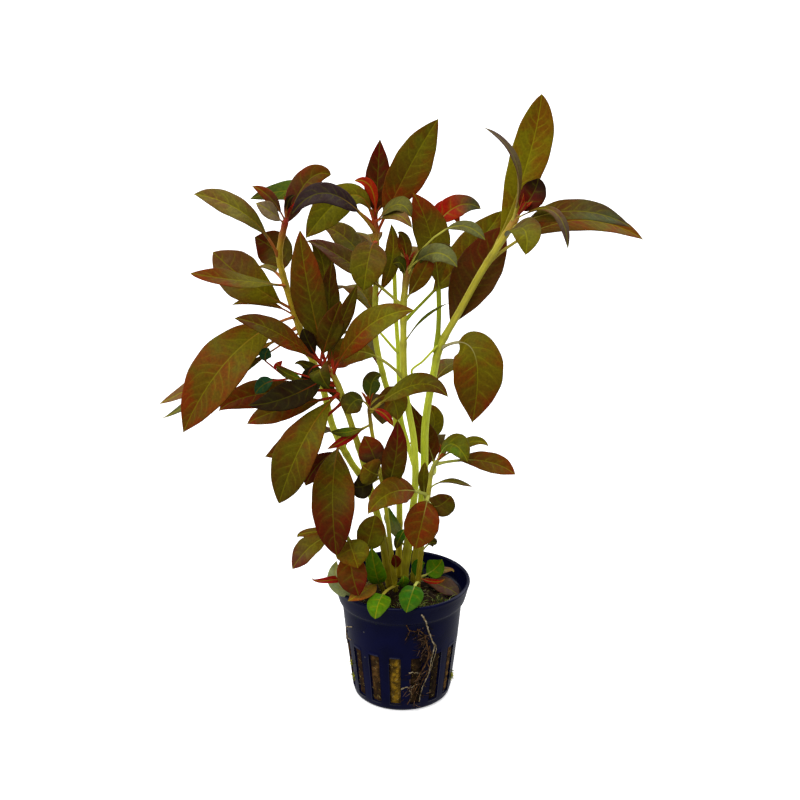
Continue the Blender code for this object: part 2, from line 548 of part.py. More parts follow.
def make_shoots():
    for shoot, (path, scale) in SHOOTS.items():
        count = 4 + int((path[-1][2] - path[0][2]) / 17)
        line = smooth_line(path, count)
        radii = scale * np.linspace(SHOOT_FOOT_RADIUS, SHOOT_TIP_RADIUS, count)
        body = tube("shoot_" + shoot, line, radii, SHOOT_SIDES, "green_stem")
        small = []
        for foot, end, path in FINE_STEMS.get(shoot, ()):
            line = smooth_line(path, len(path) + 2)
            small.append(tube("fine", line, np.linspace(foot, end, len(line)), 4, "green_stem"))
        for height, middle, tip, width, stalk, face in SMALL_LEAVES[shoot]:
            start = on_shoot(shoot, height)[0]
            small.append(leaf("small", start, middle, tip, width, stalk, face, "bronze_leaf", small=True))
        fuse(body, small)


def make_leaves():
    for name, (shoot, height, middle, tip, width, stalk, face, form) in LEAVES.items():
        finish = "maroon_leaf" if name in MAROON else "green_leaf" if name in GREEN else "bronze_leaf"
        leaf(name, joint(shoot, height, middle), middle, tip, width, stalk, face, finish, form)


def main():
    for item in list(bpy.data.objects):
        bpy.data.objects.remove(item)
    make_pot()
    make_medium()
    make_root()
    make_shoots()
    make_leaves()


main()
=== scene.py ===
"""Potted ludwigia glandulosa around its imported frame: net pot, mineral wool, roots, shoots and leaves.

Lengths in the tables are millimetres and angles are degrees, while the settings hold metres. The origin
is the middle of the pot's base, +Z is up, and -Y is the side that the camera sees, so -X is its left.
"""

import math

import bpy
import numpy as np
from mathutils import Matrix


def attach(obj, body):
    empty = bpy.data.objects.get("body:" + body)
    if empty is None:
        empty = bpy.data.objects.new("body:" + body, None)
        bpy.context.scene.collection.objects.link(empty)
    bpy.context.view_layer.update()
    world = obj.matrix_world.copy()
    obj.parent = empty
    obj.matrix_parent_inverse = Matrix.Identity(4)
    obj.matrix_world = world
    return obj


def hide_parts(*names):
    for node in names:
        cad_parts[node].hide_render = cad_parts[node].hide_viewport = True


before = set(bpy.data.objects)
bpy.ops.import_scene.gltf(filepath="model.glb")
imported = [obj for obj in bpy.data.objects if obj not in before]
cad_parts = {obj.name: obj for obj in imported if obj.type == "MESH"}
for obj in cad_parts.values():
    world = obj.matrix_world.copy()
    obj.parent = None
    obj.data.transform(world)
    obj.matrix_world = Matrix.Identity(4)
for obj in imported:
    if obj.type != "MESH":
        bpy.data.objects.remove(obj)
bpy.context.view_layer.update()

bl_info = {
    "name": "Potted Ludwigia",
    "version": (1, 0, 0),
    "blender": (4, 5, 0),
    "location": "View3D > Sidebar > Plant",
    "description": "Builds a red-bronze aquarium stem plant in its net pot",
    "category": "Add Mesh",
}

MM = 0.001
BODY = "root"

# The pot's measures repeat those of the frame's solid.
SLOT_COUNT = 16
SLOT_ANGLE = 12.0
SLOT_FIRST = -97.5
SLOT_BOTTOM = 3.5
SLOT_TOP = 25.0
WALL_HEIGHTS = (0.0, 1.0, 3.5, 25.0, 40.0, 41.5, 47.5, 48.6)
WALL_RADII = (18.2, 19.2, 19.9, 22.4, 23.8, 25.2, 26.7, 27.0)
WALL_THICKNESS = 1.0
RIM_RADIUS = 27.0
RIM_TOP = 49.0
FLOOR_THICKNESS = 1.6
MEDIUM_EDGE = 39.6
MEDIUM_CROWN = 44.0

# The line that each shoot follows up from the medium, and its radius against the usual one.
SHOOTS = {
    "left": (
        ((-3, 6, 44.6), (-7, 5, 63), (-13, 3, 86), (-20, 2, 98), (-26.5, 2, 112), (-30.5, 2, 129),
         (-38.5, 3, 151), (-44, 4, 170), (-45.5, 4, 180), (-42.5, 4, 194)),
        0.95,
    ),
    "front": (
        ((-5, 1, 44.6), (-8.5, -4, 72), (-14, -9, 99), (-19.5, -12, 120), (-25, -13, 137), (-31, -13, 144)),
        0.9,
    ),
    "middle": (
        ((-1.5, 10.5, 44.3), (-1, 11, 70), (-1.5, 10, 100), (-3, 9, 116), (-7, 8, 130), (-10, 7, 146),
         (-10, 6, 162), (-9.5, 6, 177), (-10, 6, 193)),
        0.85,
    ),
    "centre": (
        ((1, 4, 44.8), (2, 3, 62), (5, 0, 87), (4.5, 0, 107), (1, 0, 130), (0.5, 0, 158), (1, 0, 167),
         (2, 0, 176)),
        0.95,
    ),
    "right": (
        ((5, 6, 44.4), (6, 6, 60), (8.5, 5, 90), (9, 4, 113), (12, 2, 134), (14.5, 2, 145), (21.5, 3, 158),
         (29, 4, 172), (34.5, 4, 181), (43, 4, 195)),
        1.05,
    ),
    "short": (
        ((-2.5, -3, 44.6), (-6.5, -8, 85), (-9, -10, 101), (-11.5, -11, 116), (-12.5, -11, 126)),
        0.6,
    ),
    "side": (
        ((6, -1, 44.3), (8, -5, 68), (10.3, -8, 90), (11.5, -9, 99), (14, -10, 104)),
        0.65,
    ),
    "low": (
        ((-7, -3.5, 44.2), (-12, -8, 58), (-19, -14, 70), (-23, -16, 77)),
        0.6,
    ),
}
SHOOT_FOOT_RADIUS = 1.45
SHOOT_TIP_RADIUS = 1.15

# Colours of a shoot: at its foot, in its middle, under its leafy end, at its tip, and of its leaf stalks.
SHOOT_TONES = {
    "left": ("968614", "d6da3e", "b89c22", "a02a18", "b4682c"),
    "front": ("948414", "d2d83a", "c6c034", "901c12", "a83018"),
    "middle": ("a89a18", "d8e042", "c4c236", "a04420", "b04c20"),
    "centre": ("aaa222", "e0ec48", "d2ce42", "a47238", "bcb84a"),
    "right": ("a49a20", "d8e446", "c8bc3c", "b08038", "bcac46"),
    "short": ("948814", "cccc34", "c4bc34", "7a5418", "a89a34"),
    "side": ("9a8a18", "d0d444", "ccc844", "a8a84c", "b8bc58"),
    "low": ("807612", "aeb028", "b0a82a", "8c4a2a", "949a34"),
}

# Tones of a blade: the middle of its upper side, its margin, and its under side.
TONES = {
    "olive": ("6a640c", "6c4408", "9a8a50"),
    "amber": ("7a6e08", "7c5008", "8d7a3a"),
    "bronze": ("645805", "703c05", "8a6a30"),
    "umber": ("504406", "522c05", "6a5024"),
    "drab": ("5c4c10", "64401a", "8a7440"),
    "khaki": ("70641e", "6e4c22", "9a8a60"),
    "tawny": ("84601c", "8a4810", "9a7040"),
    "rust": ("604006", "782e06", "8a5028"),
    "wine": ("4c2206", "5c1205", "7a2c14"),
    "dusk": ("28200a", "241004", "3a2a18"),
    "scarlet": ("a02408", "a81408", "b04020"),
    "crimson": ("8c140c", "a01010", "98281c"),
    "fawn": ("7c6238", "7e5028", "9a8468"),
    "plum": ("5c3c24", "5c2618", "8a6a50"),
    "sage": ("625e28", "5c4624", "86805a"),
    "silver": ("6a6c3c", "60582e", "9a9a78"),
    "mauve": ("58463a", "4c322e", "7a6a60"),
    "slate": ("3a2c2a", "301c1e", "4c3c3a"),
    "tan": ("7e6a4a", "6e5434", "8a7a60"),
    "green": ("52680a", "5c5008", "7c8448"),
    "leek": ("3c480a", "403408", "5c6438"),
    "teal": ("2c5a34", "2c4824", "58684c"),
    "lime": ("4e7a06", "4c6c06", "8a9a50"),
    "emerald": ("2c6008", "345a08", "6a8050"),
    "mahogany": ("54320a", "602606", "6a4020"),
    "pine": ("464c2a", "44341c", "6c6c50"),
    "celery": ("a0a86c", "8a9050", "a8ac84"),
}

# Large leaves: shoot, height of the joint on it, middle of the midrib, tip, width of the blade, length of its
# stalk, the way that its upper side faces (angle from the front towards the right, angle up), tones of its
# base and tip, and how its form varies.
LEAVES = {
    "leaf_left_1": (
        "left", 179, (-56.4, -6, 196.6), (-74, -12, 205.4), 10.6, 9, (0, 50), "khaki", {"base": 1.3}),
    "leaf_left_2": (
        "left", 172, (-46.7, 12, 177.8), (-55.5, 14, 183.8), 14, 2, (0, 10), "umber/wine", {"base": 0.9}),
    "leaf_left_3": (
        "left", 159, (-56, -4, 170.7), (-68.4, -9, 183.6), 16, 4, (-10, 35), "amber/fawn",
        {"base": 1.15, "point": 0.8}),
    "leaf_left_4": (
        "left", 168, (-59.3, -20, 175.9), (-74.8, -24, 179.5), 8.6, 5, (0, 55), "olive/rust",
        {"point": 0.8}),
    "leaf_left_5": (
        "left", 156, (-61.5, -20, 148), (-80.5, -22, 118.8), 19.5, 8, (-20, 30), "bronze/rust",
        {"point": 1.05}),
    "leaf_left_6": ("left", 152, (-68.5, 3, 134.4), (-93.1, 4, 120.8), 8.6, 9, (-10, 40), "bronze/fawn", {}),
    "leaf_left_7": (
        "left", 187, (-35.7, 8, 205.1), (-26.2, 9, 208.3), 9.6, 4, (0, 20), "plum/rust",
        {"base": 0.8, "point": 0.7}),
    "leaf_left_8": ("left", 168.5, (-54, 24, 170), (-66, 44, 158), 17, 8, (-150, 50), "bronze", {}),
    "leaf_left_9": (
        "left", 106, (-26, -20, 94), (-24.5, -27, 71.5), 16.5, 3, (0, 15), "bronze/wine", {"point": 0.85}),
    "leaf_middle_1": ("middle", 190.5, (-18.8, 1.5, 202.3), (-35, -5, 187.9), 11.5, 5, (20, 30), "olive", {}),
    "leaf_middle_2": (
        "middle", 189, (-9, 11, 207.5), (-8.1, 12, 221), 10, 5, (0, 5), "wine", {"base": 0.8, "point": 1.1}),
    "leaf_middle_3": (
        "middle", 187, (2.8, 6, 212), (13, 4, 229.5), 14.5, 6, (10, 15), "rust/olive", {"base": 0.95}),
    "leaf_middle_4": ("middle", 184, (-11.8, -9, 183), (-14, -12, 170), 13.5, 6, (0, 20), "drab/olive", {}),
    "leaf_middle_5": ("middle", 176, (-13, 26, 182), (-15, 44, 170), 13, 8, (180, 55), "bronze", {}),
    "leaf_middle_6": ("middle", 110, (-4, 26, 116), (-8, 38, 100), 17, 9, (190, 45), "umber", {}),
    "leaf_centre_1": ("centre", 161, (-20.5, 2, 177.5), (-34.9, -2, 186), 9.5, 10, (0, 55), "drab/plum", {}),
    "leaf_centre_2": (
        "centre", 172, (16.2, 8.5, 193.8), (29.1, 8, 195.8), 9, 23, (0, 25), "scarlet/pine", {"base": 0.7}),
    "leaf_centre_3": (
        "centre", 155, (26.8, 23, 176.7), (37.7, 25, 191.4), 15, 16, (-10, 30), "amber/olive",
        {"stalk_tone": "a4b02c"}),
    "leaf_centre_4": ("centre", 133, (-15, -3, 143.9), (-27.8, -4, 138.3), 12, 13, (0, 50), "olive/rust", {}),
    "leaf_centre_5": ("centre", 164, (3, 22, 176), (12, 42, 171), 15, 9, (170, 50), "bronze", {}),
    "leaf_right_1": (
        "right", 179, (45.5, 12, 210), (50.6, 11, 237.4), 15, 6, (0, 15), "amber",
        {"base": 1.25, "point": 0.8}),
    "leaf_right_2": ("right", 192, (41, -3, 214), (29.2, -7, 228), 6.5, 5, (60, 35), "drab/mauve", {}),
    "leaf_right_3": (
        "right", 190, (61.4, -7, 198.1), (81.6, -12, 193.5), 11.6, 6, (0, 55), "umber/pine", {"base": 0.9}),
    "leaf_right_4": ("right", 177, (61.9, 12, 190.2), (90.7, 14, 182.9), 11, 12, (0, 50), "rust/bronze", {}),
    "leaf_right_5": (
        "right", 187, (43.5, -12, 192.5), (43.8, -19, 185), 13, 4, (0, 40), "sage/olive", {"base": 0.8}),
    "leaf_right_6": (
        "right", 148, (26, 9, 166.2), (38.1, 12, 188.1), 18.6, 4, (-20, 30), "mahogany", {"point": 0.85}),
    "leaf_right_7": (
        "right", 142, (12.6, 3.5, 176.4), (4, 5, 202.4), 13.6, 24, (20, 10), "olive/rust",
        {"scale": 1.6, "base": 1.25, "stalk_tone": "a4b02c"}),
    "leaf_right_8": (
        "right", 144, (26.5, -10, 145.7), (26, -15, 120), 20.5, 9, (15, 20), "bronze/rust",
        {"base": 0.8, "point": 1.15, "stalk_tone": "b0a878"}),
    "leaf_right_9": ("right", 140, (31, 27, 170), (33, 40, 164), 17, 16, (170, 88), "bronze", {}),
    "leaf_front_1": ("front", 143, (-45, -25, 158), (-59, -31, 165), 11, 4, (0, 55), "rust/umber", {}),
    "leaf_front_2": ("front", 132, (-53.1, -9, 129.3), (-68.7, -9, 122.6), 11, 8, (0, 35), "rust", {}),
    "leaf_front_3": ("front", 130, (-44.7, -22, 127.6), (-56.7, -24, 122.9), 9, 7, (0, 30), "rust", {}),
    "leaf_front_4": (
        "front", 138.5, (-42, -27, 134), (-55, -32, 133), 10.5, 5, (0, 40), "dusk", {"base": 0.8}),
    "leaf_front_5": (
        "front", 141.5, (-34.3, -11.5, 172), (-36.8, -9, 191.7), 12.5, 5, (0, 5), "umber/rust",
        {"base": 0.9}),
    "leaf_front_6": ("front", 138, (-27, -6, 161.4), (-25.7, -3, 178.4), 8.5, 5, (20, 5), "umber", {}),
    "leaf_front_7": ("front", 138.5, (-12.5, -27, 160.5), (4, -31, 168), 12, 6, (0, 45), "rust/olive", {}),
    "leaf_front_8": (
        "front", 131.5, (-35, -28, 119.5), (-45.2, -32, 94.8), 15.5, 4, (-10, 25), "bronze/umber",
        {"base": 1.3, "point": 0.9}),
    "leaf_front_9": ("front", 127.5, (-39.7, -14, 112.8), (-51.3, -16, 107), 8, 7, (-15, 25), "rust", {}),
    "leaf_short_1": ("short", 123, (5, -21, 136.9), (16.5, -28, 134.7), 9, 6, (0, 48), "olive/umber", {}),
    "leaf_short_2": (
        "short", 88, (-2.5, -17, 107), (-1.8, -16, 121.3), 9.5, 4, (0, 10), "umber/wine", {"base": 0.9}),
    "leaf_side_1": (
        "side", 97, (12.1, 9, 96.6), (3.3, 11, 118.7), 10, 17, (-20, 10), "mahogany",
        {"base": 0.8, "point": 1.3}),
    "leaf_side_2": ("side", 101.5, (30, -9, 102.5), (43, -10, 97.3), 9, 8, (0, 50), "rust", {}),
    "leaf_side_3": (
        "side", 88, (-3.1, -19, 93.9), (-12.7, -26, 88), 11, 7, (0, 35), "rust/bronze", {"base": 0.8}),
    "leaf_side_4": ("side", 88, (8.3, -15, 83), (5, -18, 70), 14, 3, (5, 25), "rust", {"base": 0.8}),
    "leaf_low_1": (
        "low", 75.5, (-33, -18, 72.5), (-41.8, -20, 62.5), 10, 5, (-30, 40), "bronze/plum", {"base": 0.9}),
    "leaf_low_2": (
        "low", 73.5, (-19.7, -21, 73.4), (-16.7, -25, 65.3), 12.5, 4, (0, 35), "olive/bronze", {"base": 0.7}),
    "leaf_low_3": (
        "low", 69, (-19.5, -20, 64), (-16.4, -25, 53.5), 12, 3, (0, 15), "rust/wine", {"base": 0.8}),
    "leaf_base_1": (
        "short", 47, (-7.7, -19, 50.6), (-10.2, -30, 46.6), 8.6, 15, (0, 60), "lime",
        {"base": 0.5, "point": 0.6}),
    "leaf_base_2": (
        "side", 48, (4.6, -17, 53), (1.6, -28, 48.2), 9.2, 14, (0, 60), "emerald",
        {"base": 0.6, "point": 0.7}),
}

# Lesser leaves of each shoot: height on it, middle, tip, width, facing, tones, form.
LESSER_LEAVES = {
    "left": (
        (192, (-47.7, 0, 201.2), (-54.4, 0, 205.9), 4.5, (0, 40), "plum/rust", {}),
        (191, (-47.5, -4, 197.2), (-52.7, -5, 200.7), 6.5, (0, 40), "tan", {}),
        (193, (-41.5, 0, 200), (-39, 0, 202.5), 2.6, (0, 30), "dusk", {}),
        (104, (-32, -4, 99), (-37, -6, 91), 8, (0, 30), "wine", {}),
        (137, (-48, 22, 144), (-62, 38, 138), 13, (170, 55), "bronze", {}),
        (101, (-26, 20, 104), (-36, 34, 96), 11, (-172, 50), "umber", {}),
        (150, (-76, 2, 125), (-91.5, 0, 116.5), 5, (0, 45), "sage/silver", {"stalk": 12}),
        (156, (-52.5, 4, 161.3), (-63.6, 2, 160.7), 3.5, (0, 40), "rust", {}),
    ),
    "front": (
        (143, (-26, -18, 157), (-22, -19, 168), 9, (0, 10), "umber", {}),
        (142, (-22, -19, 160), (-16, -22, 175), 6, (20, 20), "umber", {}),
        (143, (-28.6, 2, 171), (-33.7, 3, 184), 9, (0, 10), "olive/umber", {"stalk": 14}),
        (143, (-34, -15, 151), (-36, -16, 157), 6, (0, 20), "dusk", {}),
        (139, (-29.7, -23, 143.3), (-26.7, -24, 136.8), 8, (-30, 25), "umber/leek", {}),
        (142, (-34.3, -14, 139.6), (-33.4, -14, 131.8), 6, (0, 30), "dusk", {}),
        (134.2, (-46.4, -15, 140.3), (-48.7, -15, 149.1), 4.8, (0, 20), "teal", {"stalk": 29}),
        (133.4, (-43.7, -17, 137.9), (-54, -17, 132.1), 5.5, (0, 30), "teal", {"stalk": 25, "base": 0.7}),
        (134.7, (-40, -16, 140.2), (-45.9, -15, 143.8), 4, (0, 30), "crimson", {"stalk": 22}),
        (133.8, (-37.4, -18, 138.2), (-46.1, -17, 142.9), 3.6, (0, 30), "green/leek", {"stalk": 14}),
        (124, (-33, -8, 138), (-40, -9, 141), 5, (0, 40), "leek", {}),
    ),
    "middle": (
        (172, (-21.4, 11, 184.2), (-29.6, 12, 187.7), 9.5, (0, 40), "sage/khaki", {"stalk": 6}),
        (191, (-1.9, -3, 199.6), (3.2, -6, 195.8), 8, (0, 50), "sage", {}),
        (191, (-2.6, -6, 196.6), (3.5, -9, 192.5), 5, (10, 40), "drab/fawn", {}),
        (192, (-11.4, 6, 204), (-17.6, 6, 206.6), 4, (0, 20), "scarlet", {}),
        (162, (-4, 2, 177), (-4, 4, 191), 6, (0, 10), "olive", {}),
        (152, (-16, 24, 160), (-26, 42, 156), 12, (-160, 60), "bronze", {}),
        (101, (11.8, 17, 105.3), (9.8, 18, 115.9), 8, (20, 10), "olive/amber", {"stalk": 10}),
        (132, (-18, 24, 142.4), (-26.6, 40, 136.3), 14, (-160, 50), "umber", {}),
        (187.5, (-25.3, -13, 205.6), (-39.2, -14, 198.6), 8.5, (12, 35), "slate",
         {"stalk": 15, "base": 0.8, "scale": 1.1, "stalk_tone": "b88a2c"}),
        (190, (-31.3, 14, 200.6), (-56.6, 13, 198.5), 9, (0, 45), "green/leek", {"stalk": 18}),
    ),
    "centre": (
        (174, (1, 1, 184.6), (-1.7, 0, 188.9), 5, (0, 15), "rust/umber", {}),
        (162, (6.9, -4, 173.8), (10.9, -4, 182.8), 7, (0, 20), "rust", {}),
        (174, (11.5, -10, 183.5), (19.7, -14, 179.3), 7.5, (25, 15), "silver", {"stalk": 8}),
        (170, (-0.1, -2, 177), (-3.4, -3, 177.7), 5.5, (40, 30), "leek", {}),
        (172, (9.8, -5, 183), (18.8, -6, 184), 5, (0, 50), "leek", {}),
        (175, (17.1, -2, 190.9), (30.2, -4, 186.9), 5, (0, 40), "silver", {"stalk": 21}),
        (164, (13, 11, 193.7), (21.2, 10, 189), 5, (0, 30), "scarlet", {"stalk": 24}),
        (146, (7.4, -4, 156.6), (17.2, -2, 162.6), 1.8, (0, 70), "leek", {}),
        (60, (-3, 2, 70), (-5, -1, 80), 6, (-20, 10), "celery/lime", {}),
        (72, (-0.3, -4, 69.5), (-2.4, -6, 64.4), 4, (0, 30), "emerald/leek", {}),
    ),
    "right": (
        (193, (48, 8, 201), (50, 9, 207), 9.5, (0, 30), "wine/dusk", {"base": 0.6, "point": 0.6}),
        (193, (54, -9, 198.5), (59.2, -15, 186.2), 4.5, (20, 60), "drab/mauve", {}),
        (128, (22, 22, 132), (34, 36, 122), 13, (150, 50), "bronze", {}),
        (84, (12, 26, 98), (14, 38, 90), 11, (168, 50), "umber", {"stalk": 10}),
        (47, (12.5, -4, 49.2), (16.8, -5, 51), 2.6, (-12, 60), "crimson", {}),
        (46, (17.6, 3, 43.3), (22.3, 0, 40.6), 9, (0, 70), "plum/mauve", {}),
        (46, (16.9, 9, 48), (20.8, 8, 47.8), 4, (0, 70), "fawn", {}),
    ),
    "short": (
        (124, (-11.3, -6, 132.6), (-7.9, -5, 135.1), 7.5, (0, 40), "leek", {}),
        (125, (-5, -4, 127), (-1.6, -4, 117), 10, (30, 0), "rust/olive", {"stalk": 5}),
        (125, (-16.7, -15, 129), (-20.8, -17, 124.4), 9, (0, 45), "leek/umber", {}),
        (97, (-10.6, -13, 106), (-14.3, -14, 114.5), 10, (0, 10), "plum/rust", {}),
        (99, (-9.8, -15, 99.5), (-15, -17, 103.6), 11, (-10, 20), "umber/olive", {}),
        (96, (-14.4, -14, 94.2), (-19.3, -15, 94.7), 9, (-20, 20), "dusk", {}),
        (124, (-7.1, -19, 125.3), (-3.4, -20, 120.6), 2.8, (0, 20), "crimson", {}),
        (118, (-19.7, -17, 117.1), (-26.7, -19, 117.9), 4.5, (0, 55), "green/leek", {}),
        (118, (-20.8, -18, 114.7), (-27.7, -22, 112.3), 3.2, (0, 20), "crimson", {}),
        (47, (0, -8, 50.5), (0.4, -9, 54.2), 5, (25, 30), "lime", {"base": 0.6, "point": 0.6}),
        (52, (-2.4, -6, 58.4), (-3.5, -7, 62.3), 4, (0, 30), "wine", {}),
    ),
    "side": (
        (103, (18.5, -15, 111.5), (24.3, -20, 106.6), 10, (0, 55), "green", {}),
        (103, (25.8, -8, 109.6), (32.7, -8, 108), 4.5, (0, 50), "olive", {}),
        (90.5, (16.7, -10, 94.5), (26.8, -10, 92.2), 3.5, (0, 75), "umber", {}),
        (86, (13, -12.9, 85.5), (18.5, -16, 91), 11, (10, 0), "drab/umber", {"base": 0.6, "point": 0.6}),
        (50, (12.5, 1, 52), (15.8, 1, 56.6), 8, (0, 40), "lime", {"base": 0.7}),
        (82, (8.4, -4, 90.9), (8.8, -4, 100), 4.5, (0, 10), "umber/olive", {}),
        (62, (11, -2, 65), (13.5, -2, 64.5), 4, (0, 40), "leek", {}),
        (46, (6, 2, 51), (9, 1, 55), 6, (0, 50), "emerald", {}),
    ),
    "low": (
        (74, (-27, -13, 85), (-30, -12, 92), 6, (-20, 10), "wine", {}),
        (48, (-10.1, -13, 57.5), (-11.8, -13, 68.3), 8, (0, 10), "lime", {"base": 0.8}),
        (63, (-12, -13, 74), (-10.3, -15, 82.6), 11.5, (0, 20), "olive", {"base": 0.7, "point": 0.7}),
        (76.5, (-36.4, -13, 74.4), (-39.9, -13, 72.3), 4, (0, 50), "olive", {}),
        (50, (-22.8, -16, 52.1), (-25.1, -17, 64.5), 8, (-30, 15), "celery", {"base": 0.8, "stalk": 12}),
        (55, (-28.5, -22, 58.5), (-34, -26, 61.9), 3.5, (0, 60), "crimson", {}),
        (50, (-14.6, -19, 52.5), (-20.5, -26, 52), 7.5, (0, 60), "tawny", {}),
    ),
}

# Finer stems: the shoot that each grows with, its foot and tip radius, and its line.
FINE_STEMS = (
    ("centre", 0.95, 0.8, ((4.8, 0.5, 96), (2, 7, 104), (-0.5, 12, 113), (-1.3, 14, 128), (-1.5, 14, 139),
                           (-2.3, 14, 152), (-3, 13, 172))),
    ("centre", 0.6, 0.5, ((-1.4, 14, 138), (-4.5, 11, 142.5), (-8.2, 8, 148))),
    ("right", 0.45, 0.45, ((11, 2.7, 126), (3.6, 0.5, 134.5), (8, 0, 139.5), (13.4, 0.3, 145.5))),
    ("centre", 0.8, 0.6, ((0.4, 5.2, 44.6), (3, 8, 55), (5, 6, 80))),
    ("front", 0.6, 0.4, ((-4, 2, 44.5), (-5, 0, 52), (-6, 0, 56))),
)

# Outer roots: tone, greatest radius, then angle round the pot from the front towards the right, and height.
ROOTS = (
    ("pale", 0.3, ((16, 46), (20, 43), (24, 39), (26.5, 35.5), (30, 32), (33, 29.5), (32.5, 27), (30.5, 23.5),
                    (30, 20), (28, 16), (24, 12.8), (22, 10), (20.5, 7), (19.5, 4))),
    ("pale", 0.15, ((32, 31), (35, 28.5), (35.5, 26), (33, 22), (32, 19.5), (29.5, 16.5))),
    ("brown", 0.22, ((4, 41), (7, 38.3), (13, 37.6), (17.5, 38.5))),
    ("brown", 0.18, ((7.3, 38.2), (5.5, 36), (2.7, 33.7))),
    ("brown", 0.22, ((14, 38.5), (20.5, 36), (27.5, 32.5))),
    ("brown", 0.34, ((22, 35), (24, 31), (27, 26.5), (24.5, 22), (19, 18), (14, 13), (11.5, 9))),
    ("brown", 0.22, ((27, 30), (29.5, 26), (26, 22.5), (29, 19), (23, 15), (18, 10), (14, 5))),
    ("pale", 0.16, ((7, 18.8), (14, 18.4), (23, 17))),
    ("pale", 0.18, ((-1, 11), (5, 12), (9, 11.6), (13, 12.4), (19, 13))),
    ("pale", 0.14, ((7.4, 10.8), (10.8, 7.8), (8.2, 5))),
    ("brown", 0.25, ((18, 13), (13, 9.5), (8.5, 6), (6, 3.6))),
    ("pale", 0.18, ((-57, 34), (-68, 32), (-77, 29), (-72, 26.5), (-63, 27))),
    ("brown", 0.2, ((-74, 29), (-78, 25), (-70, 21), (-75, 15))),
    ("pale", 0.16, ((150, 44), (156, 38), (149, 31), (158, 24), (152, 15))),
    ("brown", 0.2, ((156, 38), (164, 33), (160, 27), (168, 20))),
)

# How finely the pieces are divided: points along a curve, rows along a blade, points round a tube, and grid
# columns of the wool from one slot to the next.
LINE_STEPS = 80
LEAF_STEPS = 46
LESSER_STEPS = 26
BUD_STEPS = 14
ROOT_SIDES = 7
FINE_STEM_SIDES = 10
WOOL_COLUMNS_EACH = 15

TIP_HALF_WIDTH = 0.08
BUD_TONES = ("crimson", "a01c14")
BUD_FORM = {"scale": 0.35, "fold": 0.5}
BUD_STALK = 0.8
UPWARDS = np.array([0, 0, 1.0])
FLOOR_HALF = 6.0
SENSOR_WIDTH = 36.0


class LudwigiaLeafSettings(bpy.types.PropertyGroup):
    """Sizes that all blades share."""

    thickness: bpy.props.FloatProperty(
        name="Blade thickness", description="Thickness of a blade beside its midrib",
        default=0.00035, unit="LENGTH")
    stalk_radius: bpy.props.FloatProperty(
        name="Stalk radius", description="Radius of the stalk of a large leaf",
        default=0.00058, unit="LENGTH")
    fold: bpy.props.FloatProperty(
        name="Fold", description="Rise of the two halves from the midrib, against their width",
        default=0.22)
    wave: bpy.props.FloatProperty(
        name="Margin wave", description="How far the margin waves up and down",
        default=0.0004, unit="LENGTH")
    quilt: bpy.props.FloatProperty(
        name="Quilting", description="Swelling of the blade between its side veins",
        default=0.00013, unit="LENGTH")
    vein_spacing: bpy.props.FloatProperty(
        name="Vein spacing", description="Distance along the midrib from one side vein to the next",
        default=0.0042, unit="LENGTH")
    vein_colour: bpy.props.StringProperty(
        name="Vein colour", description="Colour of the veins on an olive leaf, as sRGB hex",
        default="8e880c")


class LudwigiaShootSettings(bpy.types.PropertyGroup):
    """Sizes that all shoots share."""

    sides: bpy.props.IntProperty(
        name="Sides", description="Points round a shoot", default=20, min=8)
    row: bpy.props.FloatProperty(
        name="Row", description="Distance between rings along a shoot", default=0.0009, unit="LENGTH")
    swelling: bpy.props.FloatProperty(
        name="Node swelling", description="Growth of the radius where leaves stand, as a share", default=0.14)
    scar_spacing: bpy.props.FloatProperty(
        name="Node spacing", description="Distance between nodes that have lost their leaves",
        default=0.0145, unit="LENGTH")


class LudwigiaPotSettings(bpy.types.PropertyGroup):
    """Finish of the net pot."""

    columns_each: bpy.props.IntProperty(
        name="Columns", description="Grid columns from one slot to the next", default=15)
    lip_radius: bpy.props.FloatProperty(
        name="Lip radius", description="Radius of the rounded lip", default=0.0007, unit="LENGTH")
    colour: bpy.props.StringProperty(
        name="Plastic colour", description="Colour of the moulded plastic, as sRGB hex", default="02042a")


class LudwigiaMediumSettings(bpy.types.PropertyGroup):
    """Mineral wool and what grows on it."""

    slot_fibres: bpy.props.IntProperty(
        name="Slot fibres", description="Loose fibres that show in each slot", default=34)
    crown_fibres: bpy.props.IntProperty(
        name="Crown fibres", description="Loose fibres on top of the wool", default=420)
    bulge: bpy.props.FloatProperty(
        name="Bulge", description="How far the wool swells into a slot", default=0.0006, unit="LENGTH")


class LudwigiaStageSettings(bpy.types.PropertyGroup):
    """Camera and light."""

    camera_place: bpy.props.FloatVectorProperty(
        name="Camera", description="Where the camera stands", subtype="XYZ", unit="LENGTH",
        default=(-0.0008, -0.539, 0.3115))
    camera_dip: bpy.props.FloatProperty(
        name="Dip", description="Angle of the camera below level", subtype="ANGLE",
        default=math.radians(19.2))
    focal_share: bpy.props.FloatProperty(
        name="Focal share", description="Focal length against the width of the frame", default=1.875)
    key_strength: bpy.props.FloatProperty(
        name="Key light", description="Irradiance of the soft light from the upper left", default=2.1)
    back_strength: bpy.props.FloatProperty(
        name="Back light", description="Irradiance of the soft light from behind on the right", default=1.5)
    side_strength: bpy.props.FloatProperty(
        name="Side lights", description="Irradiance of the soft light from either side", default=0.7)
    sky: bpy.props.FloatProperty(
        name="Sky", description="Strength of the even light from all round", default=0.42)


def linear(code):
    """An sRGB hex code as linear red, green and blue."""
    share = np.array([int(code[i:i + 2], 16) for i in (0, 2, 4)]) / 255
    return np.where(share <= 0.04045, share / 12.92, ((share + 0.055) / 1.055) ** 2.4)


def colour(code):
    return (*[float(c) for c in linear(code)], 1.0)


